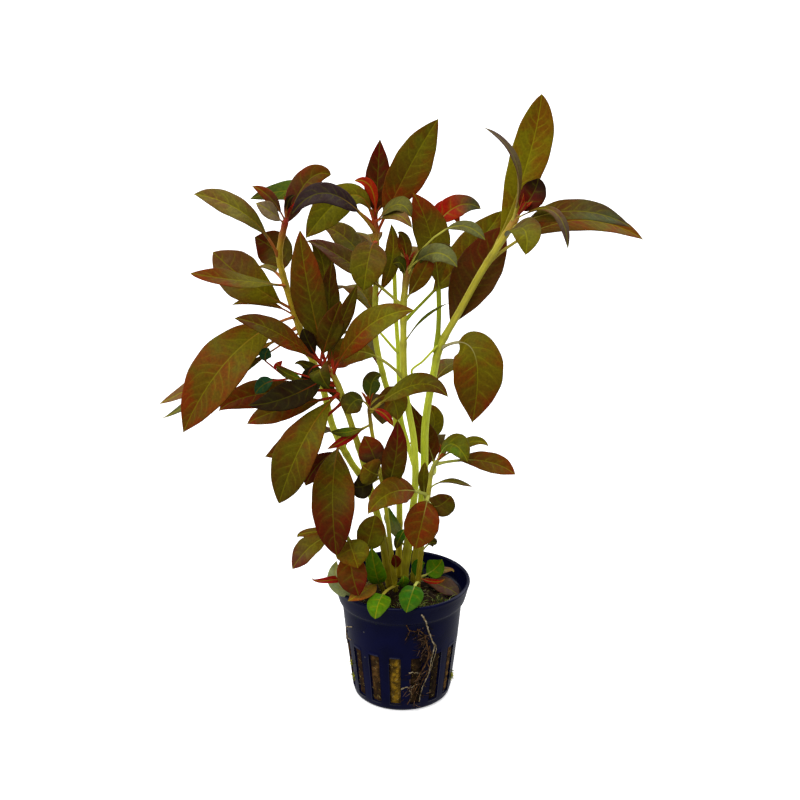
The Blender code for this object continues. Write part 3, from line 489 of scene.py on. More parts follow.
def feed(tree, made, feeds):
    """Gives a node's inputs a value or a link each, by name or number, or in order if feeds is a tuple."""
    for socket, value in feeds.items() if isinstance(feeds, dict) else enumerate(feeds):
        if isinstance(value, bpy.types.NodeSocket):
            tree.links.new(value, made.inputs[socket])
        else:
            made.inputs[socket].default_value = value


def node(tree, kind, feeds=(), out=0, **settings):
    """Adds a shader node with its settings and links, and gives its output, or all outputs if out is None."""
    made = tree.nodes.new("ShaderNode" + kind)
    for key, value in settings.items():
        setattr(made, key, value)
    feed(tree, made, feeds)
    return made.outputs if out is None else made.outputs[out]


def new_material(name):
    """A material with that name, its node tree and its shader."""
    made = bpy.data.materials.new(name)
    made.use_nodes = True
    return made, made.node_tree, made.node_tree.nodes["Principled BSDF"]


def blend(first, second, share):
    return first * (1 - share) + second * share


def along_line(line):
    """Distance from a line's first point to each of its points."""
    return np.concatenate([[0], np.cumsum(np.linalg.norm(np.diff(line, axis=0), axis=1))])


def unit(vector):
    return vector / np.maximum(np.linalg.norm(vector, axis=-1, keepdims=True), 1e-9)


def ease(low, high, value):
    """Smooth step from 0 at low to 1 at high."""
    share = np.clip((value - low) / (high - low), 0, 1)
    return share * share * (3 - 2 * share)


def smooth_line(points, count):
    """Even steps along the Catmull-Rom curve through the points."""
    given = np.asarray(points, float)
    ends = np.vstack([2 * given[0] - given[1], given, 2 * given[-1] - given[-2]])
    t = np.linspace(0, 1, 12, endpoint=False)[None, :, None]
    a, b, c, d = (ends[i:len(ends) - 3 + i, None] for i in range(4))
    line = 0.5 * (2 * b + (c - a) * t + (2 * a - 5 * b + 4 * c - d) * t**2 + (3 * b - a - 3 * c + d) * t**3)
    return at_shares(np.vstack([line.reshape(-1, given.shape[1]), given[-1:]]), np.linspace(0, 1, count))


def at_shares(line, shares):
    """The points at the given shares of a line's length."""
    run = along_line(line)
    return np.stack([np.interp(np.asarray(shares) * run[-1], run, column) for column in line.T], 1)


def sheet_faces(rows, columns, closed):
    """Four-sided faces of a grid whose points run row by row, closed round the columns if asked."""
    across = columns if closed else columns - 1
    i, j = np.meshgrid(np.arange(rows - 1), np.arange(across), indexing="ij")
    k = (j + 1) % columns
    here, above = i * columns, (i + 1) * columns
    return np.stack([here + j, here + k, above + k, above + j], -1).reshape(-1, 4)


def end_fans(rows, around):
    """Triangles that close both ends of a round grid, onto the two points that come after its own."""
    j = np.arange(around)
    k = (j + 1) % around
    last = (rows - 1) * around
    foot = np.stack([k, j, np.full(around, rows * around)], 1)
    head = np.stack([last + j, last + k, np.full(around, rows * around + 1)], 1)
    return np.vstack([foot, head])


def tube_part(line, radii, sides, profile=None):
    """A closed tube: rings of radius times profile round each point of the line, pointed at both ends."""
    along = unit(np.gradient(line, axis=0))
    across = unit(np.cross(along, (0.0, 1.0, 0.1)))
    other = np.cross(along, across)
    turn = np.linspace(0, 2 * math.pi, sides, endpoint=False)[None, :, None]
    reach = np.asarray(radii, float)[:, None, None]
    if profile is not None:
        reach = reach * profile[..., None]
    rings = line[:, None] + reach * (np.cos(turn) * across[:, None] + np.sin(turn) * other[:, None])
    count = len(line)
    points = np.vstack([rings.reshape(-1, 3), line[:1], line[-1:]])
    return {"points": points, "quads": sheet_faces(count, sides, True), "triangles": end_fans(count, sides)}


def joined(parts):
    """One part from several, with their attributes end to end."""
    start = np.cumsum([0] + [len(p["points"]) for p in parts])
    made = {"points": np.vstack([p["points"] for p in parts])}
    for kind, corners in (("quads", 4), ("triangles", 3)):
        found = [p[kind] + s for p, s in zip(parts, start) if len(p.get(kind, ()))]
        made[kind] = np.vstack(found) if found else np.zeros((0, corners), int)
    for key in parts[0]:
        if key not in made:
            made[key] = np.concatenate([p[key] for p in parts])
    return made


def put(name, part, material, nodes=()):
    """Makes the piece: mesh in metres with attributes, material, body and the nodes that it stands for."""
    mesh = bpy.data.meshes.new(name)
    quads = part["quads"]
    triangles = part.get("triangles", np.zeros((0, 3), int))
    corners = np.concatenate([quads.ravel(), triangles.ravel()])
    totals = np.repeat([4, 3], [len(quads), len(triangles)])
    mesh.vertices.add(len(part["points"]))
    mesh.vertices.foreach_set("co", (part["points"] * MM).astype(np.float32).ravel())
    mesh.loops.add(len(corners))
    mesh.loops.foreach_set("vertex_index", corners.astype(np.int32))
    mesh.polygons.add(len(totals))
    mesh.polygons.foreach_set("loop_start", (np.cumsum(totals) - totals).astype(np.int32))
    mesh.update(calc_edges=True)
    for key, values in part.items():
        if key not in ("points", "quads", "triangles"):
            kind, field = ("FLOAT_COLOR", "color") if values.shape[1] == 4 else ("FLOAT_VECTOR", "vector")
            layer = mesh.attributes.new(key, kind, "POINT")
            layer.data.foreach_set(field, values.astype(np.float32).ravel())
    mesh.validate()
    mesh.shade_smooth()
    mesh.materials.append(material)
    made = bpy.data.objects.new(name, mesh)
    bpy.context.scene.collection.objects.link(made)
    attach(made, BODY)
    if nodes:
        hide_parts(*nodes)
    return made


def facing(angles):
    """The unit vector for an angle from the front towards the right and an angle up."""
    turn, rise = np.radians(angles)
    return np.array([math.sin(turn) * math.cos(rise), -math.cos(turn) * math.cos(rise), math.sin(rise)])


def shoot_line(shoot):
    return smooth_line(SHOOTS[shoot][0], LINE_STEPS)


def on_shoot(shoot, height):
    """The middle of a shoot at a height, its direction there and its radius."""
    line = shoot_line(shoot)
    at = np.array([np.interp(height, line[:, 2], line[:, i]) for i in range(3)])
    near = int(np.clip(np.searchsorted(line[:, 2], height), 1, len(line) - 1))
    share = near / (len(line) - 1)
    radius = SHOOTS[shoot][1] * blend(SHOOT_FOOT_RADIUS, SHOOT_TIP_RADIUS, share)
    return at, unit(line[near] - line[near - 1]), radius


def blade_share(along, base, point):
    """Half width as a share of its greatest: along**base * (1 - along)**point over its own greatest."""
    along = np.clip(along, 0, 1)
    widest = base / (base + point)
    return along**base * (1 - along) ** point / (widest**base * (1 - widest) ** point)


# Places across half a blade: close together beside the midrib and at the margin, where the surface turns.
ACROSS = np.array([0.0, 0.035, 0.075, 0.13, 0.21, 0.32, 0.44, 0.56, 0.68, 0.79, 0.88, 0.95, 1.0])
ACROSS_SMALL = np.array([0.0, 0.08, 0.2, 0.42, 0.7, 0.92, 1.0])


def leaf_part(points, width, stalk, face, tones, form, chance, size, steps=LEAF_STEPS, small=False):
    """A leaf as one closed skin round its midrib.

    The midrib is the quadratic curve from the first point over the second to the third. At each of its
    stations the section is a closed loop: the upper side from one margin to the other and the under side
    back. Both rise from the midrib by the fold times the distance from it, the margin adds a wave, the blade
    swells between the side veins, and the under side adds a half round rib that shrinks from the stalk to
    the tip. The stalk is that rib alone.
    """
    start, middle, tip = (np.asarray(p, float) for p in points)
    bend = 2 * middle - (start + tip) / 2
    t = np.linspace(0, 1, LINE_STEPS)[:, None]
    line = (1 - t) ** 2 * start + 2 * t * (1 - t) * bend + t**2 * tip
    length = np.linalg.norm(np.diff(line, axis=0), axis=1).sum()
    stalk_rows = 4 if small else 8
    blade = 0.5 - 0.5 * np.cos(np.linspace(0, math.pi, steps)) * 0.35 - 0.325 * np.linspace(1, -1, steps)
    blade = (blade - blade[0]) / (blade[-1] - blade[0])
    on_stalk = np.linspace(0, stalk, stalk_rows, endpoint=False)
    shares = np.concatenate([on_stalk, stalk + blade * (length - stalk)]) / length
    along = np.concatenate([np.linspace(-1, 0, stalk_rows, endpoint=False), blade])
    rib = at_shares(line, shares)
    step = 0.5 / length
    before, after = np.maximum(shares - step, 0), np.minimum(shares + step, 1)
    ahead = unit(at_shares(line, after) - at_shares(line, before))
    lift = facing(face)
    up = unit(lift - (ahead @ lift)[:, None] * ahead)
    # The stalk keeps the turn of the blade's foot, so that it isn't wrung.
    base_up, stalk_way = up[stalk_rows], ahead[:stalk_rows]
    up[:stalk_rows] = unit(base_up - (stalk_way @ base_up)[:, None] * stalk_way)
    side = np.cross(ahead, up)
    twist = np.radians(chance.uniform(-7, 7)) * np.clip(along, 0, 1)[:, None] ** 1.5
    up, side = np.cos(twist) * up + np.sin(twist) * side, np.cos(twist) * side - np.sin(twist) * up

    scale = form.get("scale", 0.62 if small else 1.0)
    grown = blade_share(along, form.get("base", 1.1), form.get("point", 0.95))
    swollen = np.where(along < 0, 1 + 0.5 * ease(-0.6, -1.0, along), 1 - 0.78 * along)
    radius = size["stalk_radius"] * scale * swollen
    half = np.maximum(width / 2 * grown * (1 + 0.012 * np.sin(along * 31 + chance.uniform(0, 6))), radius)
    half[-1] = TIP_HALF_WIDTH
    uneven = chance.uniform(0, 6, 2)
    on_blade = ease(-0.02, 0.1, along)
    places = ACROSS_SMALL if small else ACROSS
    across = np.concatenate([-places[::-1], places[1:]])
    loop = np.concatenate([across, across[-2:0:-1]])
    under = np.zeros(len(loop), bool)
    under[len(across):] = True
    edge = np.abs(loop) > 0.999
    a, s, h = along[:, None], np.abs(loop)[None], half[:, None]
    x = loop[None] * h * (1 + 0.06 * np.sin(a * 6 + np.where(loop < 0, *uneven)[None]) * on_blade[:, None])
    veins = max(3.0, (length - stalk) / size["vein_spacing"])
    shift = np.where(loop < 0, 0.5, 0.0)[None]
    bow = 0.13 + 0.04 * np.sin(a * 9 + uneven[0] * 2)
    stagger = a + 0.012 * np.sin(a * 37 + uneven[1])
    phase = (stagger - bow * s * (1 - 0.3 * a) - 0.09 * s**3) * veins + shift + 20
    fold = form.get("fold", size["fold"]) * on_blade[:, None]
    rise = fold * (np.sqrt(x * x + (0.04 * h) ** 2) - 0.04 * h) * (1 - 0.25 * s)
    roll = chance.uniform(0, 6, 2)
    wave = size["wave"] * np.where(loop < 0, np.sin(a * 11 + roll[0]), np.sin(a * 9 + roll[1]))
    rise = rise + wave * s**2.2 * np.clip(h / 6, 0, 1) * on_blade[:, None]
    swell = size["quilt"] * np.abs(np.sin(math.pi * phase)) * np.sin(math.pi * np.clip(s, 0, 1)) ** 0.7
    rise = rise + swell * np.clip(h / 4, 0, 1) * on_blade[:, None]
    thick = size["thickness"] * (0.35 + 0.65 * np.sqrt(np.clip(1 - s**4, 0, 1))) * np.clip(h / 1.5, 0.25, 1)
    round_share = np.sqrt(np.clip(1 - (x / radius[:, None]) ** 2, 0, 1))
    below = rise - thick / 2 - radius[:, None] * round_share
    stalk_top = 0.45 * radius[:, None] * round_share * (1 - on_blade[:, None])
    groove = 0.12 * radius[:, None] * round_share * on_blade[:, None]
    z = np.where(under[None], below, rise + thick / 2 + stalk_top - groove)
    z = np.where(edge[None], rise, z)
    skin = rib[:, None] + x[..., None] * side[:, None] + z[..., None] * up[:, None]
    rows, around = z.shape
    ends = np.vstack([rib[:1], rib[-1:] + ahead[-1:] * 0.15])
    full = np.ones_like(z)
    blade_map = np.stack([a * full, s * full, np.abs(x)], -1).reshape(-1, 3)
    vein_map = np.stack([phase, under[None] * full, np.clip(h / 4, 0, 1) * full], -1).reshape(-1, 3)
    part = {
        "points": np.vstack([skin.reshape(-1, 3), ends]),
        "quads": sheet_faces(rows, around, True)[:, ::-1],
        "triangles": end_fans(rows, around)[:, ::-1],
        "blade": np.vstack([blade_map, [[-1, 0, 0], [1, 0, 0]]]),
        "vein": np.vstack([vein_map, [[0, 0, 0], [0, 0, 0]]]),
    }
    far = ease(0.3, 0.85, part["blade"][:, :1])
    names = tones[0].split("/")
    keys = ("centre_tone", "margin_tone", "under_tone")
    for key, first, last in zip(keys, TONES[names[0]], TONES[names[-1]]):
        part[key] = blend(np.array([colour(first)]), np.array([colour(last)]), far)
    part["stalk_tone"] = np.tile(colour(tones[1]), (len(far), 1))
    light = part["centre_tone"][:, :3] @ np.array([0.3, 0.6, 0.1])
    pale = np.array([colour(size["vein_colour"])]) * np.clip((light / 0.1) ** 0.7, 0.25, 1.3)[:, None]
    pale[:, 3] = 1
    part["vein_tone"] = pale
    return part


def leaf_sizes(settings):
    """The leaf settings, lengths in millimetres."""
    lengths = ("thickness", "stalk_radius", "wave", "quilt", "vein_spacing")
    sizes = {key: getattr(settings, key) / MM for key in lengths}
    return {**sizes, "fold": settings.fold, "vein_colour": settings.vein_colour}


def leaf_material():
    """Living leaf with a waxy skin: a satin sheen, pale veins, tissue that reddens to margin and tip."""
    name = "living waxy leaf"
    if name in bpy.data.materials:
        return bpy.data.materials[name]
    made, tree, shader = new_material(name)
    (along, across, from_rib), (phase, under, breadth) = (
        node(tree, "SeparateXYZ", (node(tree, "Attribute", out="Vector", attribute_name=key),), None)
        for key in ("blade", "vein"))
    tone = {
        key: node(tree, "Attribute", attribute_name=key)
        for key in ("centre_tone", "margin_tone", "under_tone", "stalk_tone", "vein_tone")
    }
    place = node(tree, "TexCoord", out="Object")
    # Zones of 12 mm, blotches of 4 mm and cell clusters of about 0.8 mm, the finest that show in the picture.
    blotch = node(tree, "TexNoise", {"Vector": place, "Scale": 230.0, "Detail": 3.0, "Roughness": 0.6})
    zone = node(tree, "TexNoise", {"Vector": place, "Scale": 85.0, "Detail": 2.0})
    cells = node(tree, "TexNoise", {"Vector": place, "Scale": 1250.0, "Detail": 2.0})

    # Side veins: a fine line inside a broad paler band, both fading towards the margin.
    beat = node(tree, "Math", (phase, 0.5), operation="PINGPONG")
    fine = node(tree, "MapRange", (beat, 0.015, 0.085, 1.0, 0.0), interpolation_type="SMOOTHSTEP")
    broad = node(tree, "MapRange", (beat, 0.0, 0.34, 1.0, 0.0), interpolation_type="SMOOTHSTEP")
    fade = node(tree, "MapRange", (across, 0.35, 1.0, 1.0, 0.0))
    fade = node(tree, "Math", (fade, breadth), operation="MULTIPLY")
    fine = node(tree, "Math", (fine, fade), operation="MULTIPLY")
    broad = node(tree, "Math", (broad, fade), operation="MULTIPLY")
    midrib = node(tree, "MapRange", (from_rib, 0.05, 0.3, 1.0, 0.0), interpolation_type="SMOOTHSTEP")

    # Redness comes in zones and blotches, and grows a little to the margin and more along the last third.
    edge = node(tree, "MapRange", (across, 0.5, 1.0, 0.0, 0.3))
    far = node(tree, "MapRange", (along, 0.6, 1.0, 0.0, 0.6))
    red = node(tree, "Math", (edge, far), operation="ADD")
    wide = node(tree, "MapRange", (zone, 0.4, 0.62, -0.3, 0.75))
    red = node(tree, "Math", (red, wide), operation="ADD")
    patch = node(tree, "MapRange", (blotch, 0.35, 0.65, -0.3, 0.3))
    red = node(tree, "Math", (red, patch), operation="ADD", use_clamp=True)
    upper = node(tree, "Mix", {0: red, 6: tone["centre_tone"], 7: tone["margin_tone"]}, 2, data_type="RGBA")
    skin = node(tree, "Mix", {0: under, 6: upper, 7: tone["under_tone"]}, 2, data_type="RGBA")
    # Cell clusters lighten and darken the tissue by a few parts in a hundred.
    grain = node(tree, "MapRange", (cells, 0.3, 0.7, 0.82, 1.18))
    skin = node(tree, "Mix", {0: 1.0, 6: skin, 7: grain}, 2, data_type="RGBA", blend_type="MULTIPLY")
    broad_share = node(tree, "Math", (broad, 0.12), operation="MULTIPLY")
    skin = node(tree, "Mix", {0: broad_share, 6: skin, 7: tone["vein_tone"]}, 2, data_type="RGBA")
    # Side veins show here and there only.
    shown = node(tree, "MapRange", (blotch, 0.4, 0.6, 0.02, 0.42))
    fine_share = node(tree, "Math", (fine, shown), operation="MULTIPLY")
    skin = node(tree, "Mix", {0: fine_share, 6: skin, 7: tone["vein_tone"]}, 2, data_type="RGBA")
    rib_share = node(tree, "Math", (midrib, 0.6), operation="MULTIPLY")
    # The midrib takes the stalk's colour near the base and the veins' colour further out.
    out = node(tree, "MapRange", (along, 0.05, 0.45), interpolation_type="SMOOTHSTEP")
    rib_tone = node(tree, "Mix", {0: out, 6: tone["stalk_tone"], 7: tone["vein_tone"]}, 2, data_type="RGBA")
    skin = node(tree, "Mix", {0: rib_share, 6: skin, 7: rib_tone}, 2, data_type="RGBA")
    stalk = node(tree, "MapRange", (along, -0.05, 0.04, 1.0, 0.0), interpolation_type="SMOOTHSTEP")
    skin = node(tree, "Mix", {0: stalk, 6: skin, 7: tone["stalk_tone"]}, 2, data_type="RGBA")

    rough = node(tree, "MapRange", (blotch, 0.3, 0.7, 0.4, 0.56))
    relief = node(tree, "Math", (fine, -1.0, cells), operation="MULTIPLY_ADD")
    bump = node(tree, "Bump", {"Strength": 0.45, "Distance": 0.00012, "Height": relief})
    feed(tree, shader, {
        "Base Color": skin,
        "Roughness": rough,
        "Normal": bump,
        "Specular IOR Level": 0.05,
    })
    return made


def shoot_material():
    """Living herbaceous stem: smooth, juicy and slightly glossy, streaked lengthwise."""
    name = "living green stem"
    if name in bpy.data.materials:
        return bpy.data.materials[name]
    made, tree, shader = new_material(name)
    skin = node(tree, "Attribute", attribute_name="stem_tone")
    way = node(tree, "Attribute", out="Vector", attribute_name="way")
    # Streaks about 0.3 mm wide and 6 mm long: the attribute runs round the stem and along it in millimetres.
    stretch = node(tree, "Mapping", {"Vector": way, "Scale": (1.0, 0.12, 1.0)})
    streak = node(tree, "TexNoise", {"Vector": stretch, "Scale": 2.6, "Detail": 3.0})
    shade = node(tree, "MapRange", (streak, 0.3, 0.7, 0.85, 1.12))
    skin = node(tree, "Mix", {0: 1.0, 6: skin, 7: shade}, 2, data_type="RGBA", blend_type="MULTIPLY")
    rough = node(tree, "MapRange", {0: streak, 3: 0.34, 4: 0.5})
    bump = node(tree, "Bump", {"Strength": 0.35, "Distance": 0.0001, "Height": streak})
    feed(tree, shader, {
        "Base Color": skin,
        "Roughness": rough,
        "Normal": bump,
        # Light goes about a millimetre into the juicy tissue, so the side away from the lamp stays bright.
        "Subsurface Weight": 0.5,
        "Subsurface Radius": (1.0, 1.0, 0.3),
        "Subsurface Scale": 0.0012,
        "Specular IOR Level": 0.2,
    })
    return made


def plastic_material(code):
    """Moulded polypropylene, blue-black: satin gloss, cloudy from the mould, a few specks of dust."""
    made, tree, shader = new_material("moulded polypropylene")
    place = node(tree, "TexCoord", out="Object")
    cloud = node(tree, "TexNoise", {"Vector": place, "Scale": 120.0, "Detail": 4.0})
    # The moulded skin has a fine orange peel, about 0.5 mm from crest to crest.
    peel = node(tree, "TexNoise", {"Vector": place, "Scale": 2000.0, "Detail": 1.0})
    tint = node(tree, "MapRange", (cloud, 0.3, 0.7, 0.75, 1.3))
    skin = node(tree, "Mix", {0: 1.0, 6: colour(code), 7: tint}, 2, data_type="RGBA", blend_type="MULTIPLY")
    # Dust specks of about 0.3 mm, far apart.
    cell = node(tree, "TexVoronoi", {"Vector": place, "Scale": 210.0}, None)
    speck = node(tree, "MapRange", (cell["Distance"], 0.03, 0.075, 0.5, 0.0), interpolation_type="SMOOTHSTEP")
    pick = node(tree, "SeparateXYZ", (cell["Color"],))
    rare = node(tree, "Math", (pick, 0.8), operation="GREATER_THAN")
    speck = node(tree, "Math", (speck, rare), operation="MULTIPLY")
    skin = node(tree, "Mix", {0: speck, 6: skin, 7: colour("8a8678")}, 2, data_type="RGBA")
    rough = node(tree, "MapRange", (cloud, 0.3, 0.7, 0.2, 0.36))
    bump = node(tree, "Bump", {"Strength": 0.1, "Distance": 0.0001, "Height": peel})
    feed(tree, shader, {
        "Base Color": skin,
        "Roughness": rough,
        "Normal": bump,
        "Specular IOR Level": 0.1,
    })
    return made


def wool_material():
    """Spun mineral wool, wet and overgrown: matte brown fibre, pale strands, painted shade between them."""
    made, tree, shader = new_material("spun mineral wool")
    tone = node(tree, "Attribute", attribute_name="wool_tone")
    place = node(tree, "TexCoord", out="Object")
    # Strands lie at random: a noise drawn out by its own distortion, about 0.4 mm across.
    strand = node(tree, "TexNoise", {"Vector": place, "Scale": 1500.0, "Detail": 3.0, "Distortion": 1.6})
    clump = node(tree, "TexNoise", {"Vector": place, "Scale": 420.0, "Detail": 3.0})
    shade = node(tree, "MapRange", (strand, 0.3, 0.72, 0.35, 1.7))
    skin = node(tree, "Mix", {0: 1.0, 6: tone, 7: shade}, 2, data_type="RGBA", blend_type="MULTIPLY")
    # Painted shade: where the clump noise is low the tone turns near-black brown, for shaded gaps between
    # strands.
    dark = node(tree, "MapRange", (clump, 0.42, 0.6, 0.8, 0.0))
    skin = node(tree, "Mix", {0: dark, 6: skin, 7: colour("1c120a")}, 2, data_type="RGBA")
    height = node(tree, "Math", (strand, clump), operation="ADD")
    bump = node(tree, "Bump", {"Strength": 0.9, "Distance": 0.0003, "Height": height})
    feed(tree, shader, {
        "Base Color": skin,
        "Roughness": 0.92,
        "Normal": bump,
        "Specular IOR Level": 0.1,
    })
    return made


def strand_material(name):
    """Fine plant fibre and root skin: matte, each strand in its own tone with slight mottling along it."""
    if name in bpy.data.materials:
        return bpy.data.materials[name]
    made, tree, shader = new_material(name)
    tone = node(tree, "Attribute", attribute_name="strand_tone")
    place = node(tree, "TexCoord", out="Object")
    mottle = node(tree, "TexNoise", {"Vector": place, "Scale": 900.0, "Detail": 3.0})
    shade = node(tree, "MapRange", (mottle, 0.3, 0.7, 0.55, 1.3))
    skin = node(tree, "Mix", {0: 1.0, 6: tone, 7: shade}, 2, data_type="RGBA", blend_type="MULTIPLY")
    rough = node(tree, "MapRange", {0: mottle, 3: 0.55, 4: 0.8})
    bump = node(tree, "Bump", {"Strength": 0.4, "Distance": 0.0001, "Height": mottle})
    feed(tree, shader, {
        "Base Color": skin,
        "Roughness": rough,
        "Normal": bump,
        "Specular IOR Level": 0.12,
    })
    return made


def backdrop_material():
    """Matte white paper sweep with the faintest tooth."""
    made, tree, shader = new_material("matte white paper")
    place = node(tree, "TexCoord", out="Object")
    tooth = node(tree, "TexNoise", {"Vector": place, "Scale": 60.0, "Detail": 4.0})
    tint = node(tree, "Mix", {0: tooth, 6: colour("f9f9f9"), 7: colour("fdfdfd")}, 2, data_type="RGBA")
    feed(tree, shader, {
        "Base Color": tint,
        "Roughness": 0.95,
        "Specular IOR Level": 0.0,
        # The sweep is lit from below as well, which leaves only a faint shadow round the pot.
        "Emission Color": (1, 1, 1, 1),
        "Emission Strength": 0.45,
    })
    return made


def wall_radius(height):
    """Outer radius of the pot at a height."""
    return np.interp(height, WALL_HEIGHTS, WALL_RADII)


def on_wall(angle, height, off):
    """A point off the pot's wall, from the angle round it from the front towards the right."""
    turn = np.radians(np.asarray(angle) - 90)
    reach = wall_radius(height) + off
    return np.stack([reach * np.cos(turn), reach * np.sin(turn), np.asarray(height, float)], -1)


def pot_part(settings):
    """The pot as one closed skin: a profile of radius and height turned round the axis, rows by columns.

    The profile runs from the middle of the floor's under side out, up the wall, over the round lip and down
    the inside to the middle of the floor. Cells of the outer and inner wall inside a slot are left out, and
    the slot's sides, sill and head join the two walls.
    """
    lip = settings.lip_radius / MM
    each = settings.columns_each
    columns = SLOT_COUNT * each
    slot_width = round(SLOT_ANGLE / (360 / SLOT_COUNT) * each)
    turn = np.radians(SLOT_FIRST - SLOT_ANGLE / 2 + np.arange(columns) * 360 / columns)
    band = np.linspace(SLOT_BOTTOM, SLOT_TOP, 9)
    foot = [(0.01, 0.35), (12.0, 0.35), (16.6, 0.35), (17.0, 0.0), (17.9, 0.0), (18.15, 0.06), (18.35, 0.22),
            (19.2, 1.0)]
    low = [(wall_radius(z), z) for z in (1.8, 2.6)]
    wall = [(wall_radius(z), z) for z in (27, 30, 33, 36, 38.5, 39.6)]
    step = [(23.86, 40.1), (24.05, 40.5), (24.5, 40.9), (24.95, 41.2), (25.15, 41.6), (25.3, 42.2)]
    collar = [(wall_radius(z), z) for z in (43.5, 45.0, 46.5, 47.3)]
    crest = np.radians(np.linspace(-25, 205, 13))
    top = [(RIM_RADIUS - lip + lip * math.cos(c), RIM_TOP - lip + lip * math.sin(c)) for c in crest]
    inner_high = [(25.55, 47.3), (25.4, 46.0), (25.0, 44.0), (24.6, 42.5), (24.3, 42.0), (23.6, 41.3),
                  (22.95, 40.8), (22.75, 40.0)]
    inner_wall = [(wall_radius(z) - WALL_THICKNESS, z) for z in (38, 34, 30, 27)]
    inner_band = [(wall_radius(z) - WALL_THICKNESS, z) for z in band[::-1]]
    floor = [(18.3, 2.4), (18.0, 1.8), *((r, FLOOR_THICKNESS) for r in (17.6, 9.0, 0.01))]
    outer = foot + low + [(wall_radius(z), z) for z in band] + wall + step + collar + top
    inner = inner_high + inner_wall + inner_band + floor
    profile = np.array(outer + inner, float)
    rows = len(profile)
    points = np.stack([
        profile[:, :1] * np.cos(turn), profile[:, :1] * np.sin(turn), np.repeat(profile[:, 1:], columns, 1)
    ], -1).reshape(-1, 3)
    first_out = len(foot) + len(low)
    last_out = first_out + len(band) - 1
    first_in = len(outer) + len(inner_high) + len(inner_wall)
    last_in = first_in + len(band) - 1
    faces = sheet_faces(rows, columns, True)
    row = np.repeat(np.arange(rows - 1), columns)
    column = np.tile(np.arange(columns), rows - 1)
    in_slot = column % each < slot_width
    in_band = ((row >= first_out) & (row < last_out)) | ((row >= first_in) & (row < last_in))
    kept = faces[~(in_slot & in_band)]
    slots = np.arange(SLOT_COUNT) * each
    sides = []
    for edge, flip in ((slots, False), ((slots + slot_width) % columns, True)):
        i, j = np.meshgrid(np.arange(len(band) - 1), edge, indexing="ij")
        out_low, out_high = (first_out + i) * columns + j, (first_out + i + 1) * columns + j
        in_low, in_high = (last_in - i) * columns + j, (last_in - i - 1) * columns + j
        side = np.stack([out_low, out_high, in_high, in_low], -1).reshape(-1, 4)
        sides.append(side[:, ::-1] if flip else side)
    j = (slots[:, None] + np.arange(slot_width)).ravel()
    k = (j + 1) % columns
    head, sill = (
        np.stack([out * columns + j, out * columns + k, within * columns + k, within * columns + j], 1)
        for out, within in ((last_out, first_in), (first_out, last_in)))
    return {"points": points, "quads": np.vstack([kept, *sides, head, sill[:, ::-1]])}


def wool_tone_at(turn, height, crown):
    """Colour of the wool: yellow-brown in the slot left of the middle, brown elsewhere, dark on its crown."""
    degrees = (np.degrees(turn) + 90 + 180) % 360 - 180
    in_slots = (height < SLOT_TOP + 1)[..., None]
    yellow = np.exp(-((degrees + 7.5) / 7.0) ** 2)[..., None] * in_slots
    dark = np.clip(1.3 * np.exp(-((degrees - 27) / 17.0) ** 2), 0, 1)[..., None] * in_slots
    places, shares = (-180, -80, -52, -30, 60, 90, 130, 180), (0.3, 0.3, 0.0, 0.4, 0.8, 0.6, 0.2, 0.3)
    tone = blend(linear("3c2410"), linear("7c5a2c"), np.interp(degrees, places, shares)[..., None])
    for code, share in (("987418", yellow), ("201610", dark), ("2c1e0e", crown[..., None])):
        tone = blend(tone, linear(code), share)
    return np.concatenate([tone, np.ones((*tone.shape[:-1], 1))], -1)


def crown_height(radius):
    """Height of the wool's crown at a distance from the axis."""
    return np.interp(radius, (0, 6, 13, 20, 22.4), (43.8, MEDIUM_CROWN, 43.2, 41.2, MEDIUM_EDGE))


def wool_part(settings, chance):
    """The wool plug: a profile turned round the axis, pushed out where a slot is open and roughened by sines.

    Its radius follows the wall's inner side less a hair, plus the bulge inside a slot. The crown is a low
    dome whose height adds three crossed sine waves.
    """
    columns = SLOT_COUNT * WOOL_COLUMNS_EACH
    turn = np.radians(SLOT_FIRST - SLOT_ANGLE / 2 + np.arange(columns) * 360 / columns)
    heights = np.concatenate([[1.9], np.linspace(2.6, 26.0, 48), np.linspace(28, MEDIUM_EDGE, 8)])
    away = (np.arange(columns) % WOOL_COLUMNS_EACH - 4) * 1.5
    slot = ease(6.0, 3.6, np.abs(away))
    open_band = ease(SLOT_BOTTOM, SLOT_BOTTOM + 1.2, heights) * ease(SLOT_TOP, SLOT_TOP - 1.2, heights)
    rough = (0.16 * np.sin(heights[:, None] * 2.3 + 3 * np.sin(turn * 7))
             + 0.12 * np.sin(turn[None] * 40 + heights[:, None] * 1.7))
    push = slot[None] * open_band[:, None] * (settings.bulge / MM + rough)
    reach = wall_radius(heights)[:, None] - WALL_THICKNESS - 0.12 + push
    side = np.stack([reach * np.cos(turn), reach * np.sin(turn), np.repeat(heights[:, None], columns, 1)], -1)
    radii = np.linspace(22.2, 0.4, 26)
    dome = crown_height(radii)[:, None] - 0.5
    r, a = np.meshgrid(radii, turn, indexing="ij")
    bump = (0.35 * np.sin(r * 1.3 + 2 * np.sin(3 * a)) + 0.3 * np.sin(a * 17 + r) * ease(2, 8, r)
            + 0.25 * np.sin(r * 2.9 - 5 * a))
    crown = np.stack([r * np.cos(a), r * np.sin(a), dome + bump * ease(22.4, 19, r)], -1)
    base = side[:1].copy()
    base[..., :2] *= 0.02
    rings = np.vstack([base, side, crown])
    rows = len(rings)
    flat = rings.reshape(-1, 3)
    ends = np.array([[0, 0, rings[0, 0, 2]], [0, 0, crown[-1, :, 2].mean()]])
    points = np.vstack([flat, ends])
    on_crown = ease(38.5, 40.5, points[:, 2])
    return {
        "points": points,
        "quads": sheet_faces(rows, columns, True),
        "triangles": end_fans(rows, columns),
        "wool_tone": wool_tone_at(np.arctan2(points[:, 1], points[:, 0]), points[:, 2], on_crown),
    }


